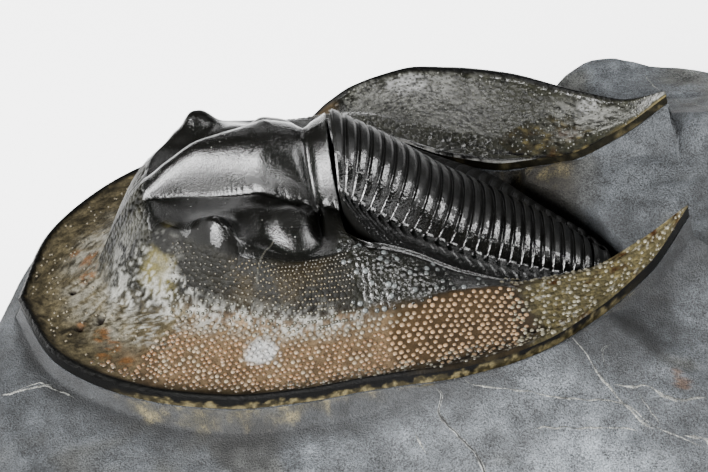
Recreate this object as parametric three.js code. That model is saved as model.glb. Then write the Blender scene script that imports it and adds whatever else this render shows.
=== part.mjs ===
// A fossil harpetid trilobite on its block of limestone: a horseshoe-shaped head shield with a high
// glabella, small eye tubercles and long blade-like prolongations, a ribbed thorax that dips into the
// rock, and a tiny tail plate. Millimetres, +Z up. Every surface of the animal is written in its own
// frame: s runs back along the axis from the front rim, l goes sideways (+ to the far side) and h
// stands up from the plane of the rim. That plane is pitched, tail up, on the block.
import * as THREE from "three";
import { mergeVertices } from "three/addons/utils/BufferGeometryUtils.js";

// Driving dimensions
const PITCH = THREE.MathUtils.degToRad(10.3); // rise of the rim plane towards the tail
const BLOCK = { left: -7, right: 56, near: -27, far: 22, bottom: -13 }; // limestone block
const JOINT_GAP = 0.12; // gap between the shield and the rock that holds it
const BED_GAP = 0.3; // gap between the thorax and its bed
const SHIELD_EDGE = 0.7; // thickness of the shield along its rim
const INNER_EDGE = 0.6; // thickness along the inner margins
const SEGMENTS = 24; // thoracic segments
const RIB_RELIEF = 0.3; // height of a rib over the furrow in front of it
const RIM_RIDGE = 0.28; // height of the raised cord along the rim
const BRIM_SAG = 0.35; // hollow of the flat brim between rim and crease
const EYES = [
  { s: 15.3, l: -6.7, height: 1.4, radius: 1.1 },
  { s: 14.0, l: -5.9, height: 0.7, radius: 1.15 },
  { s: 14.65, l: 6.4, height: 1.5, radius: 1.1 },
  { s: 13.4, l: 5.6, height: 0.7, radius: 1.15 },
]; // eye tubercles, each with a lower bump before it
const ALAE = [
  { s: 20.3, l: -6.1, height: 1.0, radius: 1.55 },
  { s: 19.8, l: 4.75, height: 1.0, radius: 1.55 },
]; // lobes beside the back of the glabella
const GLABELLA_FURROW = { depth: 0.3, width: 0.13 }; // groove round the glabella, as shares of its width
const ROCK_ROUGHNESS = 0.45; // relief of the fractured limestone

// Resolution of the meshes
const FRONT_STEPS = 18; // steps round the front of the head, to the middle of its back edge
const WING_STEPS = 28; // steps from there to the tip of the prolongation
const NECK = 6; // station where the back edge of the head begins
const TIP = 14; // station of the tips

// Stations round the shield, from the front (0) to the tip (14): station, s, l, h
const RIM = [
  [0, 0, 0, 0],
  [1, 2.0, 6.4, 0],
  [2, 6.3, 11.5, 0],
  [3, 11, 14.45, 0],
  [4, 15.7, 16.1, 0],
  [5, 20, 16.55, 0],
  [6, 23, 16.65, 0],
  [7, 24.8, 16.8, 0],
  [8, 26.8, 17, 0],
  [9, 29, 17.2, 0],
  [10, 32, 16.85, 0],
  [11, 35.8, 15.6, 0],
  [12, 39.2, 13.4, 0],
  [13, 43.2, 10.2, 0.5],
  [14, 46.7, 6.9, 2.4],
];
// Crease between the brim and the steep cheek roll
const CREASE = [
  [0, 5.8, 0, 1.5],
  [1, 7.4, 4.4, 1.4],
  [2, 11.6, 7.0, 1.2],
  [3, 14.7, 8.6, 1.1],
  [4, 17.3, 10.1, 1.1],
  [5, 20, 11.1, 1.1],
  [6, 22.8, 11.3, 1.1],
  [7, 24.8, 11.2, 1.15],
  [8, 26.8, 10.9, 1.2],
  [9, 29, 10.2, 1.1],
  [10, 32, 9.2, 0.5],
  [11, 35.6, 8.4, -0.5],
  [12, 39, 7.9, -0.7],
  [13, 43.1, 7.6, 0.2],
  [14, 46.7, 6.75, 2.35],
];
// Shoulder where the roll turns over into the cheek
const SHOULDER = [
  [0, 10.5, 0, 7.3],
  [1, 11, 3.3, 7.2],
  [2, 13, 5.6, 7.4],
  [3, 15.7, 6.9, 7.8],
  [4, 18, 7.6, 7.1],
  [5, 20, 8.2, 6.2],
  [6, 22.6, 8.3, 5.6],
  [7, 24.4, 8.4, 5.1],
  [8, 26, 8.5, 4.2],
  [9, 28.3, 8.1, 2.6],
  [10, 31.4, 7.9, 0.6],
  [11, 35.3, 7.6, -0.8],
  [12, 39, 7.3, -1],
  [13, 43.05, 7.0, 0],
  [14, 46.7, 6.6, 2.3],
];
// Centre of the head, then its back edge, then the inner margin of the prolongation
const INNER = [
  [0, 20, 0, 7.3],
  [5, 20, 0, 7.3],
  [6, 23.7, 0, 5.2],
  [7, 23.1, 4.3, 4.9],
  [8, 25.2, 7.5, 4.7],
  [9, 27.9, 6.95, 2.9],
  [10, 31.1, 6.95, 0.4],
  [11, 35, 6.9, -1.2],
  [12, 39, 6.75, -1.3],
  [13, 43, 6.55, 0.1],
  [14, 46.7, 6.45, 2.25],
];
// The far side is bent: its rim sinks beside the head and rises again along the prolongation
const FAR_BEND = [
  [0, 0],
  [1, 0],
  [2, -0.15],
  [3, -0.6],
  [4, -1.2],
  [5, -1.8],
  [6, -0.1],
  [7, 0.75],
  [8, 1.1],
  [9, 1.2],
  [10, 0.8],
  [11, 0.35],
  [12, 0],
  [13, -0.4],
  [14, 0],
];
const NEAR_BEND = [
  [0, 0],
  [5, 0.1],
  [6, 0.2],
  [9, 0.3],
  [11, 0.1],
  [14, 0],
];
const NEAR_CHEEK_DROP = [
  [0, 1.2],
  [4.5, 1.1],
  [7, 0],
]; // how far the outer part of the cheek sags below its shoulder line
const FAR_CHEEK_DROP = [
  [0, 1.2],
  [5, 1.1],
  [7.5, 1.1],
  [10.5, 0],
];

// Glabella: height of its crest over the cheeks, and half-width, along s
const GLABELLA_RISE = [
  [8.4, 0],
  [10.5, 0.6],
  [12.2, 1.7],
  [15, 3.0],
  [18.8, 3.2],
  [21, 3.25],
  [21.85, 3.3],
  [22.6, 3.85],
  [23.2, 4.45],
  [23.7, 5.1],
];
const GLABELLA_WIDTH = [
  [8.4, 0.8],
  [10.5, 1.0],
  [12.5, 1.15],
  [15, 1.8],
  [18.5, 2.75],
  [21, 3.3],
  [21.9, 3.4],
  [23.7, 3.9],
];
const OCCIPITAL_FURROW = { s: 21.85, depth: 0.9, crestDepth: 0.15, width: 0.38 };

// Thorax, by position along it (0 front, 1 back): s and h of the crest, of the furrow beside the
// axis and of the outer ends of the ribs, and the half-widths of the axis and of the whole
const THORAX = {
  crest: [
    [0, 23.95, 10.2],
    [0.12, 26, 8.4],
    [0.27, 28.3, 6.2],
    [0.47, 31.3, 3.0],
    [0.66, 34.2, 0.7],
    [0.86, 37.3, -1.7],
    [1, 39.7, -3.9],
    [1.1, 41.0, -5.0],
  ],
  furrow: [
    [0, 23.6, 6.7],
    [0.12, 24.5, 5.7],
    [0.27, 26.3, 3.9],
    [0.47, 29.5, 1.2],
    [0.66, 33, -1.4],
    [0.86, 36.7, -3.5],
    [1, 39.3, -4.8],
    [1.1, 40.9, -5.4],
  ],
  ends: [
    [0, 25.5, 4.5],
    [0.12, 26.5, 3.6],
    [0.27, 28.2, 2.2],
    [0.47, 30.8, 0.3],
    [0.66, 33.8, -1.5],
    [0.86, 37.1, -3.6],
    [1, 39.6, -4.9],
    [1.1, 41.0, -5.5],
  ],
  axisWidth: [
    [0, 3.6],
    [0.27, 4.0],
    [0.5, 4.0],
    [0.8, 3.2],
    [1, 1.9],
    [1.1, 0.6],
  ],
  width: [
    [0, 6.9],
    [0.12, 6.75],
    [0.5, 6.7],
    [0.66, 6.4],
    [0.8, 5.3],
    [1, 3.1],
    [1.1, 0.9],
  ],
};
const TAIL_SHIFT = -1.2; // the back of the thorax bends this far to the near side
const BED = [
  [22, -0.8],
  [33, -2.8],
  [42, -7.1],
]; // straight stretches of the thorax's underside: s, h
const TAIL_GAP = 0.008; // gap between thorax and tail plate, as a share of the thorax

// Block: outline of its top and of its foot, seen from above, as station, x, y
const NEAR_TOP = [
  [0, -1.6, 0],
  [1, -6, -11],
  [2, -5.6, -23.5],
  [3, 2, -26],
  [4, 10, -26.2],
  [5, 18, -26],
  [6, 24, -25.8],
  [8, 32, -26.2],
  [10, 41, -26],
  [11, 47, -25.6],
  [12, 54, -24.6],
  [13, 55.2, -18.5],
  [14, 55.2, -12],
];
const NEAR_FOOT = [
  [0, -5, -1],
  [1, -7, -12],
  [2, -7, -24.5],
  [3, 2, -27],
  [11, 47, -27],
  [12, 55.4, -25.5],
  [13, 56, -19],
  [14, 56, -12],
];
const NEAR_HEIGHT = [
  [0, -2.4],
  [1, -3.4],
  [2, -5.2],
  [4, -4.2],
  [6, -2.8],
  [9, -1.6],
  [11, -0.8],
  [12, -0.5],
  [13, 0.8],
  [14, 2.8],
]; // height of the top's edge
const FAR_OFFSET = [
  [0, -1.6, 0],
  [1, -0.95, 0.55],
  [2, -0.75, 0.75],
  [3, -0.5, 0.9],
  [5, 0, 1],
  [11, 0.1, 1],
  [12, 0.1, 1.2],
  [12.25, -0.6, 3.9],
  [12.5, 1.0, 6.8],
  [13, 3.2, 9.4],
  [13.5, 10.6, 11.8],
  [14, 9.4, 4.7],
]; // from the rim to the top's edge
const FAR_FOOT = [
  [0, -5, -1],
  [1, -2, 9],
  [2, 3, 16],
  [3, 8.5, 20.5],
  [4, 14, 22],
  [12, 43, 22],
  [13, 50, 21.8],
  [13.5, 55.4, 20.8],
  [14, 56, 12],
];
const FAR_HEIGHT = [
  [12, -2.4],
  [12.5, -2.3],
  [13, -4.3],
  [13.5, -8],
  [14, -4.2],
]; // height of the top's edge over the rim plane
const PEDESTAL_DROP = [
  [0, 0.7],
  [2, 1.0],
  [3.5, 1.7],
  [6, 1.6],
  [7.5, 0.6],
  [8.5, -0.2],
  [10, -0.4],
  [12, -0.35],
  [12.6, 0.8],
  [14, 1.5],
]; // fall of the rock just outside the near rim
// s of the middle of each row of rock between the margins, by station
const ROW_MIDDLE = [
  [6, 23.7],
  [7, 24.6],
  [8, 25.9],
  [9, 28],
  [10, 31.1],
  [14, 46.7],
];
const PEDESTAL_WIDTH = 0.35;
const FAR_FALL = 2.4; // fall of the rock just outside the far rim
const BED_WIDTH = [
  [23, 7.3],
  [31, 7.1],
  [33.8, 6.8],
  [36.1, 5.75],
  [39.6, 3.7],
  [41.2, 1.7],
  [42, 0.5],
]; // half-width of the bed of the thorax, along s
const TAIL_PIT_END = 41.3; // the bed of the thorax ends here, and the rock rises behind it

const clamp = THREE.MathUtils.clamp;
const lerp = THREE.MathUtils.lerp;
const smoothstep = THREE.MathUtils.smoothstep;

// Monotone cubic through rows of [x, y...]; returns a function giving the list of y at x.
function curve(rows) {
  const n = rows.length;
  const slopes = [];
  for (let c = 1; c < rows[0].length; c++) {
    const step = (i) => rows[i + 1][0] - rows[i][0];
    const rise = (i) => (rows[i + 1][c] - rows[i][c]) / step(i);
    slopes[c] = rows.map((_, i) => {
      if (i === 0) return rise(0);
      if (i === n - 1) return rise(n - 2);
      const a = rise(i - 1);
      const b = rise(i);
      if (a * b <= 0) return 0;
      const p = step(i - 1);
      const q = step(i);
      return (3 * (p + q)) / ((2 * q + p) / a + (q + 2 * p) / b);
    });
  }
  return (x) => {
    const t = clamp(x, rows[0][0], rows[n - 1][0]);
    let i = 0;
    while (i < n - 2 && t > rows[i + 1][0]) i++;
    const w = rows[i + 1][0] - rows[i][0];
    const k = (t - rows[i][0]) / w;
    const out = [];
    for (let c = 1; c < rows[0].length; c++) {
      const start = (1 + 2 * k) * (1 - k) ** 2 * rows[i][c] + k * (1 - k) ** 2 * w * slopes[c][i];
      const end = k * k * (3 - 2 * k) * rows[i + 1][c] + k * k * (k - 1) * w * slopes[c][i + 1];
      out.push(start + end);
    }
    return out;
  };
}

// Straight stretches through rows of [x, y].
function stretches(rows) {
  return (x) => {
    let i = 0;
    while (i < rows.length - 2 && x > rows[i + 1][0]) i++;
    const [x0, y0] = rows[i];
    const [x1, y1] = rows[i + 1];
    return lerp(y0, y1, clamp((x - x0) / (x1 - x0), 0, 1));
  };
}

const rim = curve(RIM);
const crease = curve(CREASE);
const shoulder = curve(SHOULDER);
const inner = curve(INNER);
const farBend = curve(FAR_BEND);
const nearBend = curve(NEAR_BEND);
const farDrop = curve(FAR_CHEEK_DROP);
const nearDrop = curve(NEAR_CHEEK_DROP);
const glabellaRise = curve(GLABELLA_RISE);
const glabellaWidth = curve(GLABELLA_WIDTH);
const bed = stretches(BED);
const [crestLine, furrowLine, endLine, axisWidth, thoraxWidth] = [
  THORAX.crest,
  THORAX.furrow,
  THORAX.ends,
  THORAX.axisWidth,
  THORAX.width,
].map(curve);

// From the animal's frame to the block's.
function place(s, l, h) {
  return [
    s * Math.cos(PITCH) - h * Math.sin(PITCH),
    l,
    s * Math.sin(PITCH) + h * Math.cos(PITCH),
  ];
}

// Rock relief: a few crossed waves, the same at every build.
function relief(x, y) {
  const broad = Math.sin(0.41 * x + 1.3 * Math.sin(0.23 * y)) * Math.cos(0.37 * y + 0.8);
  const middle = Math.sin(0.93 * x - 0.71 * y + 2.1) * Math.cos(0.57 * x + 1.13 * y);
  const fine = Math.sin(1.9 * x + 1.1 * y) * Math.sin(1.3 * x - 2.3 * y + 0.5);
  return ROCK_ROUGHNESS * (0.55 * broad + 0.3 * middle + 0.15 * fine);
}

// Rows across the shield: 0 at the rim, V_CREASE at the crease, V_SHOULDER at the shoulder, 1 inside.
const V_CREASE = 0.35;
const V_SHOULDER = 0.6;
const TOP_ROWS = [0, 0.0175, 0.04, 0.08, 0.17, 0.26, 0.35, 0.41, 0.47, 0.53, 0.6];
const INSIDE_ROWS = [0.66, 0.71, 0.76, 0.81, 0.86, 0.91, 0.955, 1];
const UNDER_ROWS = [0, 0.35, 0.6, 1];

function blend(a, b, k) {
  return a.map((value, i) => lerp(value, b[i], k));
}

// Plan position of a point of the shield.
function plan(u, v) {
  if (v <= V_CREASE) return blend(rim(u), crease(u), v / V_CREASE);
  if (v <= V_SHOULDER) {
    return blend(crease(u), shoulder(u), (v - V_CREASE) / (V_SHOULDER - V_CREASE));
  }
  return blend(shoulder(u), inner(u), (v - V_SHOULDER) / (1 - V_SHOULDER));
}

function bend(u, side) {
  return side > 0 ? farBend(u)[0] : nearBend(u)[0];
}

// Lobes of the head that stand up from the cheeks.
function lobes(s, l) {
  const across = Math.abs(l) / glabellaWidth(s)[0];
  const round = Math.max(0, 1 - across ** 2.2) ** 0.65;
  const groove = Math.exp(-(((across - 1.1) / GLABELLA_FURROW.width) ** 2));
  const grooved = smoothstep(s, 9.5, 12) * (1 - smoothstep(s, 20, 22));
  const glabella = glabellaRise(s)[0] * round - GLABELLA_FURROW.depth * groove * grooved;
  const mounds = (list, power) =>
    list.reduce((total, lobe) => {
      const r = Math.hypot(s - lobe.s, l - lobe.l) / lobe.radius;
      return total + lobe.height * Math.exp(-(r ** power));
    }, 0);
  const reach = smoothstep(Math.abs(l), 5.6, 7.2);
  const flank = smoothstep(Math.abs(l), 0.5, 2.5);
  const furrow =
    lerp(OCCIPITAL_FURROW.crestDepth, OCCIPITAL_FURROW.depth, flank) *
    (1 - reach) *
    Math.exp(-(((s - OCCIPITAL_FURROW.s) / OCCIPITAL_FURROW.width) ** 2));
  return s > 8.4 ? glabella + mounds(EYES, 2.6) + mounds(ALAE, 4) - furrow : 0;
}

// Top of the shield.
function shieldTop(u, v, side) {
  const [s, l, flat] = plan(u, v);
  const outside = Math.max(0, 1 - v / V_SHOULDER);
  const head = 1 - smoothstep(u, 7.5, 10.5);
  let h = flat + bend(u, side) * outside;
  if (v <= V_CREASE) {
    const k = v / V_CREASE;
    const narrow = 1 - smoothstep(u, 12.6, 14);
    h -= BRIM_SAG * narrow * 4 * k * (1 - k);
    h += RIM_RIDGE * narrow * Math.exp(-(((k - 0.05) / 0.04) ** 2));
  } else if (v <= V_SHOULDER) {
    const k = (v - V_CREASE) / (V_SHOULDER - V_CREASE);
    const swell = Math.sin((Math.PI * k) / 2) - k;
    h += head * swell * 0.75 * (shoulder(u)[2] - crease(u)[2]);
  } else {
    const border = (v - 0.93) / 0.05;
    h += 0.3 * smoothstep(u, 7, 7.6) * (1 - smoothstep(u, 9.5, 12)) * Math.exp(-(border ** 2));
  }
  const [drop] = side > 0 ? farDrop(u) : nearDrop(u);
  h -= drop * smoothstep(v, 0.4, 0.6) * smoothstep(l, 4.5, 7.5);
  return [s, side * l, h + lobes(s, side * l)];
}

// Underside of the shield: level with the rim below the head, a thin plate in the prolongations.
function shieldUnder(u, v, side) {
  const [s, l] = plan(u, v);
  const edge = rim(u)[2] + bend(u, side) - SHIELD_EDGE;
  const plate = inner(u)[2] - INNER_EDGE;
  const inside = lerp(-SHIELD_EDGE, plate, smoothstep(u, 7.8, 10.2));
  return [s, side * l, lerp(edge, inside, v)];
}

const stations = [];
for (let i = 0; i <= FRONT_STEPS; i++) stations.push((NECK * i) / FRONT_STEPS);
for (let i = 1; i <= WING_STEPS; i++) stations.push(lerp(NECK, TIP, i / WING_STEPS));

// Collects triangles and gives one closed geometry.
class Skin {
  constructor() {
    this.corners = [];
  }
  triangle(a, b, c) {
    this.corners.push(...a, ...b, ...c);
  }
  // Sheet over a grid of points; turn flips its faces.
  sheet(grid, turn) {
    for (let i = 0; i + 1 < grid.length; i++) {
      for (let j = 0; j + 1 < grid[i].length; j++) {
        const [a, b, c, d] = [grid[i][j], grid[i + 1][j], grid[i + 1][j + 1], grid[i][j + 1]];
        if (turn) {
          this.triangle(a, c, b);
          this.triangle(a, d, c);
        } else {
          this.triangle(a, b, c);
          this.triangle(a, c, d);
        }
      }
    }
  }
  geometry() {
    const soup = new THREE.BufferGeometry();
    soup.setAttribute("position", new THREE.Float32BufferAttribute(this.corners, 3));
    const joined = mergeVertices(soup, 1e-4);
    const kept = [];
    for (let i = 0; i < joined.index.count; i += 3) {
      const [a, b, c] = [0, 1, 2].map((k) => joined.index.getX(i + k));
      if (a !== b && b !== c && c !== a) kept.push(a, b, c);
    }
    joined.setIndex(kept);
    joined.computeVertexNormals();
    return joined;
  }
}

// The head shield
function cephalonGeometry() {
  const skin = new Skin();
  const rows = [...TOP_ROWS, ...INSIDE_ROWS];
  for (const side of [-1, 1]) {
    const turn = side < 0;
    const top = stations.map((u) => rows.map((v) => place(...shieldTop(u, v, side))));
    const under = stations.map((u) => UNDER_ROWS.map((v) => place(...shieldUnder(u, v, side))));
    skin.sheet(top, !turn);
    skin.sheet(under, turn);
    const last = rows.length - 1;
    const edge = stations.map((_, i) => [under[i][0], top[i][0]]);
    skin.sheet(edge, !turn);
    const back = stations
      .map((_, i) => [top[i][last], under[i][UNDER_ROWS.length - 1]])
      .slice(FRONT_STEPS);
    skin.sheet(back, !turn);
    // The tip is closed by a narrow end face.
    const tipTop = top[stations.length - 1];
    const tipUnder = under[stations.length - 1];
    const ring = [...tipTop, ...[...tipUnder].reverse()];
    for (let i = 1; i + 1 < ring.length; i++) {
      if (turn) skin.triangle(ring[0], ring[i + 1], ring[i]);
      else skin.triangle(ring[0], ring[i], ring[i + 1]);
    }
  }
  return skin.geometry();
}

// Cross-section of the thorax at position r, as points from the near to the far edge.
const ACROSS = [-1, -0.82, -0.66, -0.5, -0.33, -0.17, 0, 0.17, 0.33, 0.5, 0.66, 0.82, 1];
const AXIS_SHARE = 0.5; // share of ACROSS that the axis takes
function thoraxRow(r, lift) {
  const [crestS, crestH] = crestLine(r);
  const [furrowS, furrowH] = furrowLine(r);
  const [endS, endH] = endLine(r);
  const half = axisWidth(r)[0];
  const full = thoraxWidth(r)[0];
  return ACROSS.map((t) => {
    const a = Math.abs(t);
    const shift = TAIL_SHIFT * smoothstep(crestS, 32, 41);
    if (a <= AXIS_SHARE) {
      const k = a / AXIS_SHARE;
      const arch = 1 - Math.sqrt(1 - (0.97 * k) ** 2);
      const fall = arch / (1 - Math.sqrt(1 - 0.97 ** 2));
      const s = lerp(crestS, furrowS, fall);
      const h = lerp(crestH, furrowH, fall) + lift * (1 - 0.5 * k ** 4);
      return [s, Math.sign(t) * k * half + shift, h];
    }
    const k = (a - AXIS_SHARE) / (1 - AXIS_SHARE);
    const h = lerp(furrowH, endH, k) + 0.35 * Math.sin(Math.PI * k) + lift * (1 - k ** 4);
    return [lerp(furrowS, endS, k ** 1.5), Math.sign(t) * lerp(half, full, k) + shift, h];
  });
}

// A closed body under rows of the thorax, down to the bed.
function bodyUnder(rows) {
  const skin = new Skin();
  const top = rows.map((row) => row.map((p) => place(...p)));
  const floor = rows.map((row) =>
    [row[0], row[row.length - 1]].map(([s, l]) => place(s, l, bed(s))),
  );
  skin.sheet(top, false);
  skin.sheet(floor, true);
  const last = ACROSS.length - 1;
  skin.sheet(rows.map((_, i) => [floor[i][0], top[i][0]]), false);
  skin.sheet(rows.map((_, i) => [top[i][last], floor[i][1]]), false);
  const cap = (i, turn) => {
    const ring = [...top[i], floor[i][1], floor[i][0]];
    for (let j = 0; j + 1 < ring.length - 1; j++) {
      const [a, b, c] = [ring[ring.length - 1], ring[j], ring[j + 1]];
      if (turn) skin.triangle(a, c, b);
      else skin.triangle(a, b, c);
    }
  };
  cap(0, false);
  cap(rows.length - 1, true);
  return skin.geometry();
}

// Segments get shorter towards the tail.
const along = (k) => 1.18 * k - 0.18 * k * k;

function thoraxGeometry() {
  const rows = [];
  for (let i = 0; i < SEGMENTS; i++) {
    rows.push(thoraxRow(along(i / SEGMENTS), 0));
    rows.push(thoraxRow(along((i + 0.3) / SEGMENTS), RIB_RELIEF));
    rows.push(thoraxRow(along((i + 0.72) / SEGMENTS), RIB_RELIEF));
  }
  rows.push(thoraxRow(1 - TAIL_GAP, 0));
  return bodyUnder(rows);
}

function pygidiumGeometry() {
  const rows = [0, 0.02, 0.045, 0.065, 0.09].map((r, i) =>
    thoraxRow(1 + TAIL_GAP + r, i % 2 ? 0.6 * RIB_RELIEF : 0),
  );
  return bodyUnder(rows);
}

// The block
const nearTop = curve(NEAR_TOP);
const nearFoot = curve(NEAR_FOOT);
const nearHeight = curve(NEAR_HEIGHT);
const farOffset = curve(FAR_OFFSET);
const farFoot = curve(FAR_FOOT);
const farHeight = curve(FAR_HEIGHT);
const pedestalDrop = curve(PEDESTAL_DROP);
const bedWidth = curve(BED_WIDTH);
const OUTER_ROWS = [0.14, 0.34, 0.6, 0.82, 1];

// Points of the rock from below the rim out to the edge of the top.
function rockRay(u, side) {
  const [s, l, h] = shieldUnder(u, 0, side);
  const start = place(s, l, h - JOINT_GAP);
  let edge;
  let drop;
  if (side < 0) {
    const [x, y] = nearTop(u);
    edge = [x, y, nearHeight(u)[0]];
    drop = pedestalDrop(u)[0];
  } else {
    const [dx, dy] = farOffset(u);
    const [x0, y0, z0] = place(s, l, rim(u)[2] + bend(u, side));
    const level = u <= 12 ? z0 - FAR_FALL : place(s + dx, 0, farHeight(u)[0])[2];
    edge = [x0 + dx, y0 + dy, level];
    drop = lerp(pedestalDrop(0)[0], 1.2, smoothstep(u, 0, 1));
  }
  const reach = Math.hypot(edge[0] - start[0], edge[1] - start[1]);
  const step = Math.min(PEDESTAL_WIDTH, 0.3 * reach) / reach;
  const foot = [
    lerp(start[0], edge[0], step),
    lerp(start[1], edge[1], step),
    start[2] - drop,
  ];
  const points = [start, foot];
  for (const w of OUTER_ROWS) {
    const p = blend(foot, edge, w);
    const far = smoothstep(reach, 1.5, 4) * smoothstep(w, 0, 0.5);
    p[2] += far * relief(p[0], p[1]);
    points.push(p);
  }
  return points;
}

// Height of the rock between the prolongations.
function fill(s, l) {
  const back = smoothstep(s, 41, 50);
  return lerp(-4.2, -3.6, back) + lerp(0.33, 0.2, back) * l;
}

// Rock between the inner margins: a row of points from the near to the far one. The bed of the
// thorax takes the middle, STOPS points to a side; the last two stand at its wall.
const STOPS = 4;
function rockRow(near, far, mid) {
  const shift = TAIL_SHIFT * smoothstep(mid, 32, 41);
  const ended = smoothstep(mid, TAIL_PIT_END, TAIL_PIT_END + 0.8);
  const widened = smoothstep(mid, TAIL_PIT_END + 0.8, TAIL_PIT_END + 2.4);
  const wide = bedWidth(mid)[0];
  const half = (from, sign) => {
    const margin = Math.abs(from[1]);
    const edge = lerp(Math.min(wide + sign * shift, margin - 0.4), 0.7 * margin, widened);
    const free = Math.max(ended, smoothstep(margin - edge, 0.5, 1.4));
    const points = [];
    for (let k = 1; k <= STOPS; k++) {
      points.push([lerp(shift, sign * edge, k / STOPS), ended]);
    }
    points.push([sign * lerp(Math.min(edge + 0.3, margin - 0.25), 0.85 * margin, widened), free]);
    points.push([sign * (margin - JOINT_GAP), free]);
    return points.map(([l, up]) => {
      const s = lerp(mid, from[0], (l / margin) ** 2);
      return [s, l, lerp(bed(s) - BED_GAP, fill(s, l) + relief(s, l), up)];
    });
  };
  const centre = [mid, shift, lerp(bed(mid) - BED_GAP, fill(mid, shift), ended)];
  return [near, ...half(near, -1).reverse(), centre, ...half(far, 1), far];
}

// Rock behind the tips: rows from the points under the tips to the right-hand edge of the block.
function rockBehind(front, nearRay, farRay) {
  const last = front.length - 1;
  const rows = [front];
  const steps = nearRay.length - 1;
  const travelled = (ray, w) => (ray[w][0] - ray[0][0]) / (ray[steps][0] - ray[0][0]);
  for (let w = 1; w <= steps; w++) {
    rows.push(
      front.map((from, k) => {
        if (k === 0) return nearRay[w];
        if (k === last) return farRay[w];
        const t = k / last;
        const end = blend(nearRay[steps], farRay[steps], t);
        const p = blend(from, end, lerp(travelled(nearRay, w), travelled(farRay, w), t));
        const level = p[0] * Math.tan(PITCH) + fill(p[0], p[1]) / Math.cos(PITCH);
        const ray = t < 0.5 ? nearRay[w][2] : farRay[w][2];
        const open = smoothstep(Math.min(k, last - k), 0, 6);
        p[2] = lerp(ray, level + relief(p[0], p[1]), open);
        return p;
      }),
    );
  }
  return rows;
}

// Side of the block from a point of the top's edge to the foot.
const SIDE_ROWS = [0, 0.3, 0.65, 1];
function wall(edge, foot) {
  return SIDE_ROWS.map((k) => {
    const p = blend(edge, [...foot, BLOCK.bottom], k);
    const inwards = k > 0 && k < 1 ? Math.abs(relief(p[0] + p[1], 3 * p[2])) : 0;
    const middle = [(BLOCK.left + BLOCK.right) / 2, (BLOCK.near + BLOCK.far) / 2, p[2]];
    return blend(p, middle, (1.5 * inwards) / Math.hypot(p[0] - middle[0], p[1] - middle[1]));
  });
}

function matrixGeometry() {
  const skin = new Skin();
  const seats = {};
  const rays = {};
  for (const side of [-1, 1]) {
    seats[side] = stations.map((u) =>
      UNDER_ROWS.map((v) => {
        const [s, l, h] = shieldUnder(u, v, side);
        return place(s, l, h - JOINT_GAP);
      }),
    );
    rays[side] = stations.map((u) => rockRay(u, side));
    skin.sheet(seats[side], side > 0);
    skin.sheet(rays[side], side < 0);
  }

  // Between the margins, from the neck to the tips
  const middle = curve(ROW_MIDDLE);
  const rows = [];
  for (const u of stations.slice(FRONT_STEPS)) {
    const [near, far] = [-1, 1].map((side) => {
      const [s, l, h] = shieldUnder(u, 1, side);
      return [s, l, h - JOINT_GAP];
    });
    if (u === NECK) rows.push(Array(2 * STOPS + 7).fill(near));
    else rows.push(rockRow(near, far, middle(u)[0]));
  }
  const inside = rows.map((row) => row.map((p) => place(...p)));
  skin.sheet(inside, false);

  // Behind the tips
  const tips = stations.length - 1;
  const nearTip = seats[-1][tips].slice(0, -1);
  const farTip = seats[1][tips].slice(0, -1).reverse();
  const front = [...nearTip, ...inside[inside.length - 1], ...farTip];
  const behind = rockBehind(front, rays[-1][tips], rays[1][tips]);
  skin.sheet(behind, false);

  // Sides and underside
  const edgeOf = (ray) => ray[ray.length - 1];
  const right = edgeOf(behind).slice(1, -1);
  const loop = [
    ...stations.map((u, i) => wall(edgeOf(rays[-1][i]), nearFoot(u))),
    ...right.map((p, k) => {
      const t = (k + 1) / (right.length + 1);
      return wall(p, blend(nearFoot(TIP), farFoot(TIP), t));
    }),
    ...stations.map((u, i) => wall(edgeOf(rays[1][i]), farFoot(u))).reverse(),
  ];
  skin.sheet(loop, true);
  const centre = [(BLOCK.left + BLOCK.right) / 2, 0, BLOCK.bottom];
  for (let i = 0; i + 1 < loop.length; i++) {
    skin.triangle(centre, edgeOf(loop[i + 1]), edgeOf(loop[i]));
  }
  return skin.geometry();
}

const limestone = new THREE.MeshStandardMaterial({ color: 0x80868c, roughness: 0.85 });
const shell = new THREE.MeshStandardMaterial({ color: 0x2b2926, roughness: 0.35 });
const darkShell = new THREE.MeshStandardMaterial({ color: 0x1d1c1b, roughness: 0.3 });

function mesh(name, geometry, material) {
  const made = new THREE.Mesh(geometry, material);
  made.name = name;
  return made;
}

const fossil = new THREE.Group();
fossil.add(mesh("matrix", matrixGeometry(), limestone));
fossil.add(mesh("cephalon", cephalonGeometry(), shell));
fossil.add(mesh("thorax", thoraxGeometry(), darkShell));
fossil.add(mesh("pygidium", pygidiumGeometry(), darkShell.clone()));
fossil.position.set(
  -(BLOCK.left + BLOCK.right) / 2,
  -(BLOCK.near + BLOCK.far) / 2,
  -BLOCK.bottom,
);

export default fossil;
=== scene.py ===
"""Looks of a harpetid trilobite fossil on its block of limestone.

The animal is drawn in its own frame, in millimetres: s runs back along the axis from the front
rim, l goes sideways (+ to the far side) and h stands up from the plane of the rim. place() turns
that frame into the block's, and to_row() turns the block's into the row's, in metres. On the
shield, u counts stations from the front to the tip and v goes from 0 at the rim to 1 at the inner
edge. side is -1 on the near half and +1 on the far half.
"""

import math

import bpy
import numpy as np
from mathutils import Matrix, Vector
from mathutils.bvhtree import BVHTree


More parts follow.
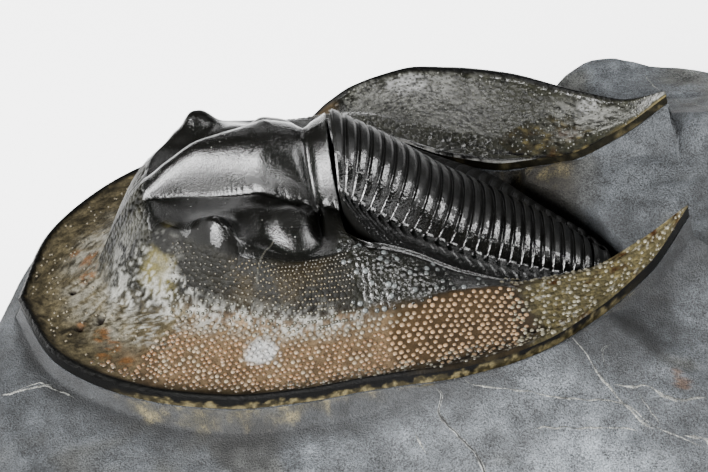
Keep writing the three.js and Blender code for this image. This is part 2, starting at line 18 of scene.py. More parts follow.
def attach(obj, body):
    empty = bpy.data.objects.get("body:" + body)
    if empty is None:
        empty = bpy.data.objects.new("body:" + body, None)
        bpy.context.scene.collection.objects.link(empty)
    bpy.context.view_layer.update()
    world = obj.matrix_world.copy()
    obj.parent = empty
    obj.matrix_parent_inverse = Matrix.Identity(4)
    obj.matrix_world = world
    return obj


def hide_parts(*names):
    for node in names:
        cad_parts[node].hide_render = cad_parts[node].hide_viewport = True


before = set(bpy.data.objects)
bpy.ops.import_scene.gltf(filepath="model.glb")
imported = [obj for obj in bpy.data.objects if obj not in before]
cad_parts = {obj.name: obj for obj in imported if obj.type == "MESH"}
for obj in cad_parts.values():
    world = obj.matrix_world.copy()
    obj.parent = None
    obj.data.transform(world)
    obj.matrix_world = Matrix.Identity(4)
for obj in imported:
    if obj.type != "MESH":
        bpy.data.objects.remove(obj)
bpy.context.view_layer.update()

# Driving dimensions, in millimetres, as in the solids
PITCH = math.radians(10.3)
BLOCK = {"left": -7, "right": 56, "near": -27, "far": 22, "bottom": -13}
ORIGIN = (
    (BLOCK["left"] + BLOCK["right"]) / 2,
    (BLOCK["near"] + BLOCK["far"]) / 2,
    BLOCK["bottom"],
)
JOINT_GAP = 0.12
BED_GAP = 0.3
SHIELD_EDGE = 0.7
INNER_EDGE = 0.6
SEGMENTS = 24
RIB_RELIEF = 0.3
RIM_RIDGE = 0.28
BRIM_SAG = 0.35
EYES = [
    {"s": 15.3, "l": -6.7, "height": 1.4, "radius": 1.1},
    {"s": 14.0, "l": -5.9, "height": 0.7, "radius": 1.15},
    {"s": 14.65, "l": 6.4, "height": 1.5, "radius": 1.1},
    {"s": 13.4, "l": 5.6, "height": 0.7, "radius": 1.15},
]
ALAE = [
    {"s": 20.3, "l": -6.1, "height": 1.0, "radius": 1.55},
    {"s": 19.8, "l": 4.75, "height": 1.0, "radius": 1.55},
]
GLABELLA_FURROW = {"depth": 0.3, "width": 0.13}
ROCK_ROUGHNESS = 0.45
NECK = 6
TIP = 14

# Stations round the shield, from the front (0) to the tip (14): station, s, l, h
RIM = [
    (0, 0, 0, 0),
    (1, 2.0, 6.4, 0),
    (2, 6.3, 11.5, 0),
    (3, 11, 14.45, 0),
    (4, 15.7, 16.1, 0),
    (5, 20, 16.55, 0),
    (6, 23, 16.65, 0),
    (7, 24.8, 16.8, 0),
    (8, 26.8, 17, 0),
    (9, 29, 17.2, 0),
    (10, 32, 16.85, 0),
    (11, 35.8, 15.6, 0),
    (12, 39.2, 13.4, 0),
    (13, 43.2, 10.2, 0.5),
    (14, 46.7, 6.9, 2.4),
]
CREASE = [
    (0, 5.8, 0, 1.5),
    (1, 7.4, 4.4, 1.4),
    (2, 11.6, 7.0, 1.2),
    (3, 14.7, 8.6, 1.1),
    (4, 17.3, 10.1, 1.1),
    (5, 20, 11.1, 1.1),
    (6, 22.8, 11.3, 1.1),
    (7, 24.8, 11.2, 1.15),
    (8, 26.8, 10.9, 1.2),
    (9, 29, 10.2, 1.1),
    (10, 32, 9.2, 0.5),
    (11, 35.6, 8.4, -0.5),
    (12, 39, 7.9, -0.7),
    (13, 43.1, 7.6, 0.2),
    (14, 46.7, 6.75, 2.35),
]
SHOULDER = [
    (0, 10.5, 0, 7.3),
    (1, 11, 3.3, 7.2),
    (2, 13, 5.6, 7.4),
    (3, 15.7, 6.9, 7.8),
    (4, 18, 7.6, 7.1),
    (5, 20, 8.2, 6.2),
    (6, 22.6, 8.3, 5.6),
    (7, 24.4, 8.4, 5.1),
    (8, 26, 8.5, 4.2),
    (9, 28.3, 8.1, 2.6),
    (10, 31.4, 7.9, 0.6),
    (11, 35.3, 7.6, -0.8),
    (12, 39, 7.3, -1),
    (13, 43.05, 7.0, 0),
    (14, 46.7, 6.6, 2.3),
]
INNER = [
    (0, 20, 0, 7.3),
    (5, 20, 0, 7.3),
    (6, 23.7, 0, 5.2),
    (7, 23.1, 4.3, 4.9),
    (8, 25.2, 7.5, 4.7),
    (9, 27.9, 6.95, 2.9),
    (10, 31.1, 6.95, 0.4),
    (11, 35, 6.9, -1.2),
    (12, 39, 6.75, -1.3),
    (13, 43, 6.55, 0.1),
    (14, 46.7, 6.45, 2.25),
]
FAR_BEND = [
    (0, 0),
    (1, 0),
    (2, -0.15),
    (3, -0.6),
    (4, -1.2),
    (5, -1.8),
    (6, -0.1),
    (7, 0.75),
    (8, 1.1),
    (9, 1.2),
    (10, 0.8),
    (11, 0.35),
    (12, 0),
    (13, -0.4),
    (14, 0),
]
NEAR_BEND = [(0, 0), (5, 0.1), (6, 0.2), (9, 0.3), (11, 0.1), (14, 0)]
NEAR_CHEEK_DROP = [(0, 1.2), (4.5, 1.1), (7, 0)]
FAR_CHEEK_DROP = [(0, 1.2), (5, 1.1), (7.5, 1.1), (10.5, 0)]
GLABELLA_RISE = [
    (8.4, 0),
    (10.5, 0.6),
    (12.2, 1.7),
    (15, 3.0),
    (18.8, 3.2),
    (21, 3.25),
    (21.85, 3.3),
    (22.6, 3.85),
    (23.2, 4.45),
    (23.7, 5.1),
]
GLABELLA_WIDTH = [
    (8.4, 0.8),
    (10.5, 1.0),
    (12.5, 1.15),
    (15, 1.8),
    (18.5, 2.75),
    (21, 3.3),
    (21.9, 3.4),
    (23.7, 3.9),
]
OCCIPITAL_FURROW = {"s": 21.85, "depth": 0.9, "crest_depth": 0.15, "width": 0.38}

# Thorax: position along it, s and h of the crest, the furrow and the ends, and the half-widths
THORAX_CREST = [
    (0, 23.95, 10.2),
    (0.12, 26, 8.4),
    (0.27, 28.3, 6.2),
    (0.47, 31.3, 3.0),
    (0.66, 34.2, 0.7),
    (0.86, 37.3, -1.7),
    (1, 39.7, -3.9),
    (1.1, 41.0, -5.0),
]
THORAX_FURROW = [
    (0, 23.6, 6.7),
    (0.12, 24.5, 5.7),
    (0.27, 26.3, 3.9),
    (0.47, 29.5, 1.2),
    (0.66, 33, -1.4),
    (0.86, 36.7, -3.5),
    (1, 39.3, -4.8),
    (1.1, 40.9, -5.4),
]
THORAX_ENDS = [
    (0, 25.5, 4.5),
    (0.12, 26.5, 3.6),
    (0.27, 28.2, 2.2),
    (0.47, 30.8, 0.3),
    (0.66, 33.8, -1.5),
    (0.86, 37.1, -3.6),
    (1, 39.6, -4.9),
    (1.1, 41.0, -5.5),
]
AXIS_WIDTH = [(0, 3.6), (0.27, 4.0), (0.5, 4.0), (0.8, 3.2), (1, 1.9), (1.1, 0.6)]
THORAX_WIDTH = [(0, 6.9), (0.12, 6.75), (0.5, 6.7), (0.66, 6.4), (0.8, 5.3), (1, 3.1), (1.1, 0.9)]
TAIL_SHIFT = -1.2
BED = [(22, -0.8), (33, -2.8), (42, -7.1)]
TAIL_GAP = 0.008

# Block, by station: outline of its top and foot seen from above, and heights
NEAR_TOP = [
    (0, -1.6, 0),
    (1, -6, -11),
    (2, -5.6, -23.5),
    (3, 2, -26),
    (4, 10, -26.2),
    (5, 18, -26),
    (6, 24, -25.8),
    (8, 32, -26.2),
    (10, 41, -26),
    (11, 47, -25.6),
    (12, 54, -24.6),
    (13, 55.2, -18.5),
    (14, 55.2, -12),
]
NEAR_FOOT = [
    (0, -5, -1),
    (1, -7, -12),
    (2, -7, -24.5),
    (3, 2, -27),
    (11, 47, -27),
    (12, 55.4, -25.5),
    (13, 56, -19),
    (14, 56, -12),
]
NEAR_HEIGHT = [
    (0, -2.4),
    (1, -3.4),
    (2, -5.2),
    (4, -4.2),
    (6, -2.8),
    (9, -1.6),
    (11, -0.8),
    (12, -0.5),
    (13, 0.8),
    (14, 2.8),
]
FAR_OFFSET = [
    (0, -1.6, 0),
    (1, -0.95, 0.55),
    (2, -0.75, 0.75),
    (3, -0.5, 0.9),
    (5, 0, 1),
    (11, 0.1, 1),
    (12, 0.1, 1.2),
    (12.25, -0.6, 3.9),
    (12.5, 1.0, 6.8),
    (13, 3.2, 9.4),
    (13.5, 10.6, 11.8),
    (14, 9.4, 4.7),
]
FAR_FOOT = [
    (0, -5, -1),
    (1, -2, 9),
    (2, 3, 16),
    (3, 8.5, 20.5),
    (4, 14, 22),
    (12, 43, 22),
    (13, 50, 21.8),
    (13.5, 55.4, 20.8),
    (14, 56, 12),
]
FAR_HEIGHT = [(12, -2.4), (12.5, -2.3), (13, -4.3), (13.5, -8), (14, -4.2)]
PEDESTAL_DROP = [
    (0, 0.7),
    (2, 1.0),
    (3.5, 1.7),
    (6, 1.6),
    (7.5, 0.6),
    (8.5, -0.2),
    (10, -0.4),
    (12, -0.35),
    (12.6, 0.8),
    (14, 1.5),
]
ROW_MIDDLE = [(6, 23.7), (7, 24.6), (8, 25.9), (9, 28), (10, 31.1), (14, 46.7)]
PEDESTAL_WIDTH = 0.35
FAR_FALL = 2.4
BED_WIDTH = [(23, 7.3), (31, 7.1), (33.8, 6.8), (36.1, 5.75), (39.6, 3.7), (41.2, 1.7), (42, 0.5)]
TAIL_PIT_END = 41.3


def curve(rows):
    """Monotone cubic through rows of (x, y...): a function giving the y columns at x."""
    table = np.array(rows, float)
    x = table[:, 0]
    width = np.diff(x)
    columns = []
    for y in table[:, 1:].T:
        slope = np.diff(y) / width
        m = np.zeros(len(x))
        m[0], m[-1] = slope[0], slope[-1]
        for i in range(1, len(x) - 1):
            a, b, p, q = slope[i - 1], slope[i], width[i - 1], width[i]
            if a * b > 0:
                m[i] = 3 * (p + q) / ((2 * q + p) / a + (q + 2 * p) / b)
        columns.append((y, m))

    def at(t):
        t = np.clip(np.asarray(t, float), x[0], x[-1])
        i = np.clip(np.searchsorted(x, t, side="right") - 1, 0, len(x) - 2)
        w = width[i]
        k = (t - x[i]) / w
        out = [
            (1 + 2 * k) * (1 - k) ** 2 * y[i]
            + k * (1 - k) ** 2 * w * m[i]
            + k * k * (3 - 2 * k) * y[i + 1]
            + k * k * (k - 1) * w * m[i + 1]
            for y, m in columns
        ]
        return out[0] if len(out) == 1 else out

    return at


def smoothstep(x, low, high):
    k = np.clip((np.asarray(x, float) - low) / (high - low), 0, 1)
    return k * k * (3 - 2 * k)


def mix(a, b, k):
    return a + (b - a) * k


rim, crease, shoulder, inner = curve(RIM), curve(CREASE), curve(SHOULDER), curve(INNER)
far_bend, near_bend = curve(FAR_BEND), curve(NEAR_BEND)
far_drop, near_drop = curve(FAR_CHEEK_DROP), curve(NEAR_CHEEK_DROP)
glabella_rise, glabella_width = curve(GLABELLA_RISE), curve(GLABELLA_WIDTH)
crest_line, furrow_line, end_line = curve(THORAX_CREST), curve(THORAX_FURROW), curve(THORAX_ENDS)
axis_width, thorax_width = curve(AXIS_WIDTH), curve(THORAX_WIDTH)


def bed(s):
    xs, ys = zip(*BED)
    return np.interp(s, xs, ys)


def place(s, l, h):
    """From the animal's frame to the block's, in millimetres."""
    s, l, h = np.broadcast_arrays(np.asarray(s, float), l, h)
    return np.stack(
        [s * np.cos(PITCH) - h * np.sin(PITCH), l, s * np.sin(PITCH) + h * np.cos(PITCH)], -1
    )


def to_row(points):
    """From the block's frame in millimetres to the row's frame in metres."""
    return (np.asarray(points) - ORIGIN) / 1000


# Noise: the same at every run
def lattice(ix, iy, iz, seed):
    n = (ix * 374761393 + iy * 668265263 + iz * 2147483647 + seed * 1274126177) & 0xFFFFFFFF
    n = ((n ^ (n >> 13)) * 1274126177) & 0xFFFFFFFF
    return ((n ^ (n >> 16)) & 0xFFFF) / 65535.0


def value_noise(p, size, seed=0):
    """Smooth noise from 0 to 1 whose lumps are about size millimetres across."""
    q = np.asarray(p, float) / size + 1000
    base = np.floor(q).astype(np.int64)
    f = q - base
    f = f * f * (3 - 2 * f)
    total = np.zeros(q.shape[:-1])
    for dx in (0, 1):
        for dy in (0, 1):
            for dz in (0, 1):
                weight = (
                    (f[..., 0] if dx else 1 - f[..., 0])
                    * (f[..., 1] if dy else 1 - f[..., 1])
                    * (f[..., 2] if dz else 1 - f[..., 2])
                )
                corner = lattice(base[..., 0] + dx, base[..., 1] + dy, base[..., 2] + dz, seed)
                total += weight * corner
    return total


def layers(p, size, count=4, seed=0):
    """Layered noise, about -1 to 1."""
    total, weight, norm = 0, 1.0, 0
    for i in range(count):
        total = total + weight * (2 * value_noise(p, size / 2**i, seed + 17 * i) - 1)
        norm += weight
        weight *= 0.5
    return total / norm


def relief(x, y):
    """The block's broad relief, as in the solids."""
    broad = np.sin(0.41 * x + 1.3 * np.sin(0.23 * y)) * np.cos(0.37 * y + 0.8)
    middle = np.sin(0.93 * x - 0.71 * y + 2.1) * np.cos(0.57 * x + 1.13 * y)
    fine = np.sin(1.9 * x + 1.1 * y) * np.sin(1.3 * x - 2.3 * y + 0.5)
    return ROCK_ROUGHNESS * (0.55 * broad + 0.3 * middle + 0.15 * fine)


# The shield
V_CREASE = 0.35
V_SHOULDER = 0.6


def plan(u, v):
    """s, l and base h of a point of the shield; v is 0 at the rim and 1 at the inner edge."""
    lines = [np.stack(line(u), -1) for line in (rim, crease, shoulder, inner)]
    v = v[..., None]
    outer = mix(lines[0], lines[1], v / V_CREASE)
    roll = mix(lines[1], lines[2], (v - V_CREASE) / (V_SHOULDER - V_CREASE))
    inside = mix(lines[2], lines[3], (v - V_SHOULDER) / (1 - V_SHOULDER))
    p = np.where(v <= V_CREASE, outer, np.where(v <= V_SHOULDER, roll, inside))
    return p[..., 0], p[..., 1], p[..., 2]


def bend(u, side):
    return far_bend(u) if side > 0 else near_bend(u)


def mound(s, l, lobe, power):
    r = np.hypot(s - lobe["s"], l - lobe["l"]) / lobe["radius"]
    return lobe["height"] * np.exp(-(r**power))


def lobes(s, l):
    """Lobes of the head that stand up from the cheeks."""
    across = np.abs(l) / glabella_width(s)
    round_ = np.maximum(0, 1 - across**2.2) ** 0.65
    groove = np.exp(-(((across - 1.1) / GLABELLA_FURROW["width"]) ** 2))
    grooved = smoothstep(s, 9.5, 12) * (1 - smoothstep(s, 20, 22))
    glabella = glabella_rise(s) * round_ - GLABELLA_FURROW["depth"] * groove * grooved
    reach = smoothstep(np.abs(l), 5.6, 7.2)
    groove_at = OCCIPITAL_FURROW
    deep = mix(groove_at["crest_depth"], groove_at["depth"], smoothstep(np.abs(l), 0.5, 2.5))
    furrow = deep * (1 - reach) * np.exp(-(((s - groove_at["s"]) / groove_at["width"]) ** 2))
    eyes = sum(mound(s, l, eye, 2.6) for eye in EYES)
    alae = sum(mound(s, l, ala, 4) for ala in ALAE)
    raised = glabella + eyes + alae - furrow
    return np.where(s > 8.4, raised, 0)


def shield_top(u, v, side):
    """s, l, h of the shield's upper face."""
    s, l, h = plan(u, v)
    h = h + bend(u, side) * np.maximum(0, 1 - v / V_SHOULDER)
    head = 1 - smoothstep(u, 7.5, 10.5)
    k = np.clip(v / V_CREASE, 0, 1)
    brim = v <= V_CREASE
    narrow = 1 - smoothstep(u, 12.6, 14)
    ridge = RIM_RIDGE * np.exp(-(((k - 0.05) / 0.04) ** 2))
    h = h + np.where(brim, narrow * (ridge - BRIM_SAG * 4 * k * (1 - k)), 0)
    k = np.clip((v - V_CREASE) / (V_SHOULDER - V_CREASE), 0, 1)
    swell = np.sin(np.pi * k / 2) - k
    h = h + head * swell * 0.75 * (shoulder(u)[2] - crease(u)[2])
    border = np.exp(-(((v - 0.93) / 0.05) ** 2)) * (v > V_SHOULDER)
    h = h + 0.3 * smoothstep(u, 7, 7.6) * (1 - smoothstep(u, 9.5, 12)) * border
    drop = far_drop(u) if side > 0 else near_drop(u)
    h = h - drop * smoothstep(v, 0.4, 0.6) * smoothstep(l, 4.5, 7.5)
    return s, side * l, h + lobes(s, side * l)


def shield_under(u, v, side):
    """s, l, h of the shield's underside."""
    s, l, _ = plan(u, v)
    edge = rim(u)[2] + bend(u, side) - SHIELD_EDGE
    plate = inner(u)[2] - INNER_EDGE
    inside = mix(-SHIELD_EDGE, plate, smoothstep(u, 7.8, 10.2))
    return s, side * l, mix(edge, inside, v)


DULL_BELOW = 0.8  # faces with less gloss than this take the worn material


class Skin:
    """Gathers sheets of points, with a colour, a gloss and a grain at each, into one mesh."""

    def __init__(self):
        self.points, self.faces, self.looks, self.count = [], [], [], 0

    def add(self, points, faces, colour, gloss, grain=0.0):
        n = len(points)
        looks = np.zeros((n, 5))
        looks[:, :3], looks[:, 3], looks[:, 4] = colour, gloss, grain
        self.points.append(points)
        self.faces.append(np.asarray(faces) + self.count)
        self.looks.append(looks)
        self.count += n

    def sheet(self, grid, colour, gloss, grain=0.0, turn=False):
        rows, cols = grid.shape[:2]
        index = np.arange(rows * cols).reshape(rows, cols)
        a, b, c, d = index[:-1, :-1], index[1:, :-1], index[1:, 1:], index[:-1, 1:]
        quads = np.stack([a, d, c, b] if turn else [a, b, c, d], -1).reshape(-1, 4)
        colour = np.broadcast_to(colour, grid.shape).reshape(-1, 3)
        gloss = np.broadcast_to(gloss, (rows, cols)).reshape(-1)
        grain = np.broadcast_to(grain, (rows, cols)).reshape(-1)
        self.add(grid.reshape(-1, 3), quads, colour, gloss, grain)

    def build(self, name, material, slot, nodes=(), worn=None):
        """One piece; the dull faces take the worn material, if there is one."""
        points = to_row(np.concatenate(self.points))
        faces = np.concatenate(self.faces)
        looks = np.clip(np.concatenate(self.looks), 0, 1).astype(np.float32)
        mesh = bpy.data.meshes.new(name)
        mesh.vertices.add(len(points))
        mesh.vertices.foreach_set("co", points.reshape(-1).astype(np.float32))
        size = faces.shape[1]
        mesh.loops.add(faces.size)
        mesh.loops.foreach_set("vertex_index", faces.reshape(-1).astype(np.int32))
        mesh.polygons.add(len(faces))
        mesh.polygons.foreach_set("loop_start", np.arange(0, faces.size, size, dtype=np.int32))
        mesh.polygons.foreach_set("use_smooth", np.ones(len(faces), bool))
        mesh.materials.append(material)
        if worn:
            mesh.materials.append(worn)
            dull = looks[faces, 3].mean(1) < DULL_BELOW
            mesh.polygons.foreach_set("material_index", dull.astype(np.int32))
        mesh.update(calc_edges=True)
        tint = mesh.attributes.new("tint", "FLOAT_COLOR", "POINT")
        rgba = np.concatenate([looks[:, :3], np.ones((len(looks), 1), np.float32)], 1)
        tint.data.foreach_set("color", rgba.reshape(-1))
        for label, column in (("gloss", 3), ("grain", 4)):
            layer = mesh.attributes.new(label, "FLOAT", "POINT")
            layer.data.foreach_set("value", np.ascontiguousarray(looks[:, column]))
        mesh.validate()
        piece = bpy.data.objects.new(name, mesh)
        bpy.context.scene.collection.objects.link(piece)
        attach(piece, "root")
        if nodes:
            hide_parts(*nodes)
        return piece


# Shared surface effects, as node groups
def effect(name, inputs, outputs):
    """A new node group with its input and output nodes."""
    tree = bpy.data.node_groups.new(name, "ShaderNodeTree")
    for label, kind, value in inputs:
        socket = tree.interface.new_socket(name=label, in_out="INPUT", socket_type=kind)
        if value is not None:
            socket.default_value = value
    for label, kind in outputs:
        tree.interface.new_socket(name=label, in_out="OUTPUT", socket_type=kind)
    return tree, tree.nodes.new("NodeGroupInput"), tree.nodes.new("NodeGroupOutput")


def math_node(tree, operation, a, b=None):
    """Output of a new math node; a and b are numbers or sockets."""
    node = tree.nodes.new("ShaderNodeMath")
    node.operation = operation
    for socket, value in zip(node.inputs, (a, b)):
        if isinstance(value, (int, float)):
            socket.default_value = value
        elif value is not None:
            tree.links.new(value, socket)
    return node.outputs[0]


def noise_node(tree, place_, scale, detail, rough=0.6):
    node = tree.nodes.new("ShaderNodeTexNoise")
    node.inputs["Detail"].default_value = detail
    node.inputs["Roughness"].default_value = rough
    tree.links.new(place_, node.inputs["Vector"])
    if isinstance(scale, (int, float)):
        node.inputs["Scale"].default_value = scale
    else:
        tree.links.new(scale, node.inputs["Scale"])
    return node.outputs["Fac"]


def make_mottle():
    """Multiplies a colour by noise: a blotchy part and a speckled part, each with its strength."""
    tree, given, out = effect(
        "mottle",
        [
            ("Colour", "NodeSocketColor", (0.5, 0.5, 0.5, 1)),
            ("Place", "NodeSocketVector", None),
            ("Blotch Scale", "NodeSocketFloat", 600),
            ("Blotch", "NodeSocketFloat", 0.3),
            ("Speckle Scale", "NodeSocketFloat", 6000),
            ("Speckle", "NodeSocketFloat", 0.3),
        ],
        [("Colour", "NodeSocketColor"), ("Height", "NodeSocketFloat")],
    )
    blotch = noise_node(tree, given.outputs["Place"], given.outputs["Blotch Scale"], 4)
    speckle = noise_node(tree, given.outputs["Place"], given.outputs["Speckle Scale"], 2, 0.8)
    parts = []
    for noise, strength in ((blotch, "Blotch"), (speckle, "Speckle")):
        swing = math_node(tree, "MULTIPLY", math_node(tree, "SUBTRACT", noise, 0.5), 4.0)
        parts.append(math_node(tree, "MULTIPLY", swing, given.outputs[strength]))
    total = math_node(tree, "ADD", math_node(tree, "ADD", parts[0], parts[1]), 1.0)
    factor = math_node(tree, "MAXIMUM", total, 0.05)
    scale = tree.nodes.new("ShaderNodeVectorMath")
    scale.operation = "SCALE"
    tree.links.new(given.outputs["Colour"], scale.inputs[0])
    tree.links.new(factor, scale.inputs["Scale"])
    tree.links.new(scale.outputs[0], out.inputs["Colour"])
    tree.links.new(math_node(tree, "ADD", blotch, speckle), out.inputs["Height"])
    return tree


def make_pimples():
    """Height of small rounded pimples, and of the fine pits between them."""
    tree, given, out = effect(
        "pimples",
        [("Place", "NodeSocketVector", None), ("Scale", "NodeSocketFloat", 2500)],
        [("Height", "NodeSocketFloat")],
    )
    cell = tree.nodes.new("ShaderNodeTexVoronoi")
    cell.inputs["Randomness"].default_value = 0.75
    tree.links.new(given.outputs["Place"], cell.inputs["Vector"])
    tree.links.new(given.outputs["Scale"], cell.inputs["Scale"])
    dome = math_node(tree, "MULTIPLY", cell.outputs["Distance"], cell.outputs["Distance"])
    steep = math_node(tree, "MULTIPLY", dome, 2.5)
    tree.links.new(math_node(tree, "SUBTRACT", 1.0, steep), out.inputs["Height"])
    return tree


mottle, pimples = make_mottle(), make_pimples()


def finish_material(name, blotch, speckle, roughness, bump, specular, grain_scale=None):
    """Material whose colour, gloss and grain come from the mesh, broken up by fine noise.

    blotch and speckle: scale and strength. roughness: at full gloss, at none, and how uneven.
    bump: strength and distance.
    """
    mat = bpy.data.materials.new(name)
    mat.use_nodes = True
    tree = mat.node_tree
    shader = tree.nodes["Principled BSDF"]
    shader.inputs["Specular IOR Level"].default_value = specular
    place_ = tree.nodes.new("ShaderNodeTexCoord").outputs["Object"]

    def attribute(label, output):
        node = tree.nodes.new("ShaderNodeAttribute")
        node.attribute_name = label
        return node.outputs[output]

    spots = tree.nodes.new("ShaderNodeGroup")
    spots.node_tree = mottle
    tree.links.new(attribute("tint", "Color"), spots.inputs["Colour"])
    tree.links.new(place_, spots.inputs["Place"])
    labels = ("Blotch Scale", "Blotch", "Speckle Scale", "Speckle")
    for label, value in zip(labels, blotch + speckle):
        spots.inputs[label].default_value = value
    tree.links.new(spots.outputs["Colour"], shader.inputs["Base Color"])

    low, high, uneven = roughness
    gloss = attribute("gloss", "Fac")
    dull = math_node(tree, "MULTIPLY_ADD", gloss, low - high)
    dull.node.inputs[2].default_value = high
    patch = noise_node(tree, place_, blotch[0] * 2, 3)
    swing = math_node(tree, "MULTIPLY", math_node(tree, "SUBTRACT", patch, 0.5), uneven)
    rough = math_node(tree, "ADD", dull, swing)
    rough.node.use_clamp = True
    tree.links.new(rough, shader.inputs["Roughness"])

    height = spots.outputs["Height"]
    if grain_scale:
        grains = tree.nodes.new("ShaderNodeGroup")
        grains.node_tree = pimples
        grains.inputs["Scale"].default_value = grain_scale
        tree.links.new(place_, grains.inputs["Place"])
        grain = math_node(tree, "MULTIPLY", grains.outputs["Height"], attribute("grain", "Fac"))
        height = math_node(tree, "ADD", height, math_node(tree, "MULTIPLY", grain, 4.0))
    relief_ = tree.nodes.new("ShaderNodeBump")
    relief_.inputs["Strength"].default_value = bump[0]
    relief_.inputs["Distance"].default_value = bump[1]
    tree.links.new(height, relief_.inputs["Height"])
    tree.links.new(relief_.outputs["Normal"], shader.inputs["Normal"])
    return mat


LIGHT_SHARE = 0.27  # the studio light is strong, so the colours are taken down to suit it


def paint(r, g, b):
    """Linear colour from the red, green and blue that the eye sees under the studio light."""
    return LIGHT_SHARE * np.array([r, g, b]) ** 2.2 / 255**2.2


# Colours of the shell
BLACK = paint(24, 24, 21)
OLIVE = paint(92, 84, 64)
RUST = paint(116, 80, 46)
FROST = paint(200, 200, 192)
PEACH = paint(130, 109, 84)
BROWN = paint(94, 76, 54)
MOSS = paint(112, 104, 62)
CRUST = paint(150, 136, 92)
WING = paint(64, 64, 53)
STREAK = paint(182, 177, 160)
SLOPE = paint(46, 45, 37)
ROLL = paint(42, 41, 36)
WARM_ROLL = paint(58, 50, 32)
CHEEK_BACK = paint(46, 46, 38)
BRIM_EDGE = paint(52, 48, 36)
CORD = paint(15, 15, 13)
# Painted highlight: pale speckle near the far wing's rim and on its tip
HIGHLIGHT_SPECKLE = paint(232, 232, 224)
# Painted highlight: colour of the bright spots on the far wing
HIGHLIGHT_WHITE = paint(250, 250, 248)
WHITE = paint(238, 238, 235)
LUMP = paint(72, 62, 42)
LUMP_RUST = paint(96, 62, 28)
CRUST_BASE = paint(108, 100, 72)
CRUST_STAIN = paint(70, 46, 22)
HOLE = paint(30, 20, 10)
GROOVE_DARK = paint(22, 19, 14)
SCRATCH = paint(120, 118, 108)
CRACK = paint(14, 13, 11)
# Painted highlight along the far wing's inner edge
EDGE_HIGHLIGHT = paint(235, 234, 228)
WALL = paint(9, 9, 8)
WALL_EARTH = paint(66, 60, 42), paint(140, 128, 92)
BACK_EARTH = paint(44, 42, 34), paint(112, 103, 76)
# Colours of the granules
PEACH_DOME = paint(178, 136, 96)
PALE_DOME = paint(188, 168, 140)
BROWN_DOME = paint(206, 166, 122)
GREY_DOME = paint(150, 148, 132)
EDGE_DOME = paint(70, 62, 44)
# Colours of the block
LIMESTONE = paint(112, 117, 122)
EARTHY_STONE = paint(108, 106, 94)
SEAM_EARTH = paint(70, 66, 48)
BED_EARTH = paint(62, 56, 44)
CALCITE = paint(186, 187, 180)
CRACK_EDGE = paint(160, 162, 160)
CRACK_GAP = paint(34, 34, 32)

shell_finish = finish_material(
    "polished_shell", (900, 0.22), (7000, 0.25), (0.2, 0.75, 0.14), (0.6, 0.00006), 0.5, 2600
)
worn_finish = finish_material(
    "worn_shell", (1300, 0.4), (8000, 0.5), (0.25, 0.8, 0.12), (0.55, 0.00006), 0.08, 2600
)
granule_finish = finish_material(
    "shell_granules", (1500, 0.15), (9000, 0.25), (0.2, 0.6, 0.05), (0.3, 0.00003), 0.45
)
rib_finish = finish_material(
    "polished_ribs", (1300, 0.3), (5000, 0.3), (0.1, 0.7, 0.2), (0.6, 0.00007), 0.7
)
worn_rib_finish = finish_material(
    "worn_ribs", (1300, 0.3), (5000, 0.3), (0.25, 0.75, 0.15), (0.6, 0.00006), 0.22
)
stone_finish = finish_material(
    "limestone", (700, 0.55), (8000, 1.3), (0.42, 0.85, 0.15), (1.0, 0.00015), 0.45
)


def near_first(count, dense):
    """Stations from 0 to TIP: count of them up to the neck, dense more behind it."""
    return np.concatenate([np.linspace(0, NECK, count), np.linspace(NECK, TIP, dense + 1)[1:]])


def tinted(base, colour, share):
    """base with a share of another colour laid over it."""
    return base + (np.asarray(colour) - base) * np.clip(share, 0, 1)[..., None]


def between(x, low, high, soft):
    """1 from low to high and 0 outside, with soft ends."""
    return smoothstep(x, low - soft, low + soft) * (1 - smoothstep(x, high - soft, high + soft))


def blot(s, l, at, radius, ragged):
    """Share of a ragged round patch, in the plane of the rim."""
    r = np.hypot(s - at[0], l - at[1]) / radius
    return 1 - smoothstep(r + ragged, 0.65, 1.15)


def blots(s, l, patches, ragged):
    """Patches of (s, l, radius, strength, raggedness) added up."""
    return sum(k * blot(s, l, (x, y), size, rough * ragged) for x, y, size, k, rough in patches)


# Patches of the shield: s, l, radius
RUST_STAINS = [
    (4.9, 1.6, 1.1),
    (5.4, -0.3, 0.8),
    (4.2, 3.3, 0.7),
    (6.3, -7.8, 1.1),
    (5.9, -6.6, 0.8),
    (7.3, -9.4, 0.7),
    (4.4, -4.7, 0.5),
    (8.9, -9.3, 0.4),
]
HOLES = [
    (4.0, -1.1, 0.28),
    (5.8, -5.1, 0.34),
    (4.3, -5.0, 0.3),
    (35.0, -13.55, 0.42),
    (35.5, -13.2, 0.36),
]
HOLE_DEPTH = 0.3
WING_LUMPS = [(38.9, 8.0, 2.2), (36.3, 8.6, 1.6)]
WHITE_CRYSTALS = (16.7, -11.7, 1.0)
# The same, with a strength and a raggedness
CRYSTAL_HEAPS = [
    (10.3, -6.6, 2.4, 0.8, 0.7),
    (8.6, -2.6, 2.0, 0.5, 0.8),
    (16.9, -11.4, 1.3, 1, 0.8),
    (8.0, 2.0, 1.6, 0.6, 1),
]
# Painted highlights on the far wing, with the same columns
WING_HIGHLIGHT_SPOTS = [(28.8, 15.6, 1.6, 1, 0.4), (41.2, 10.9, 1.0, 1, 0.5)]
# The same on both halves, l taken without its sign
EYE_SOCKET = (14.6, 7.4, 1.9)
EYE_TOP = (15.3, 6.85, 0.72)
SIDE_LOBE = (20.0, 5.5, 1.5)

# Lines on the shield, by s, l: the crack of the far wing and the scratch of the near cheek
WING_CRACK = [(29.1, 7.2), (30.4, 7.3), (32.5, 7.9), (34.6, 7.8), (36.5, 7.2), (38.0, 6.8)]
CHEEK_SCRATCH = [(18.8, -7.0), (18.0, -7.9), (17.2, -8.9)]
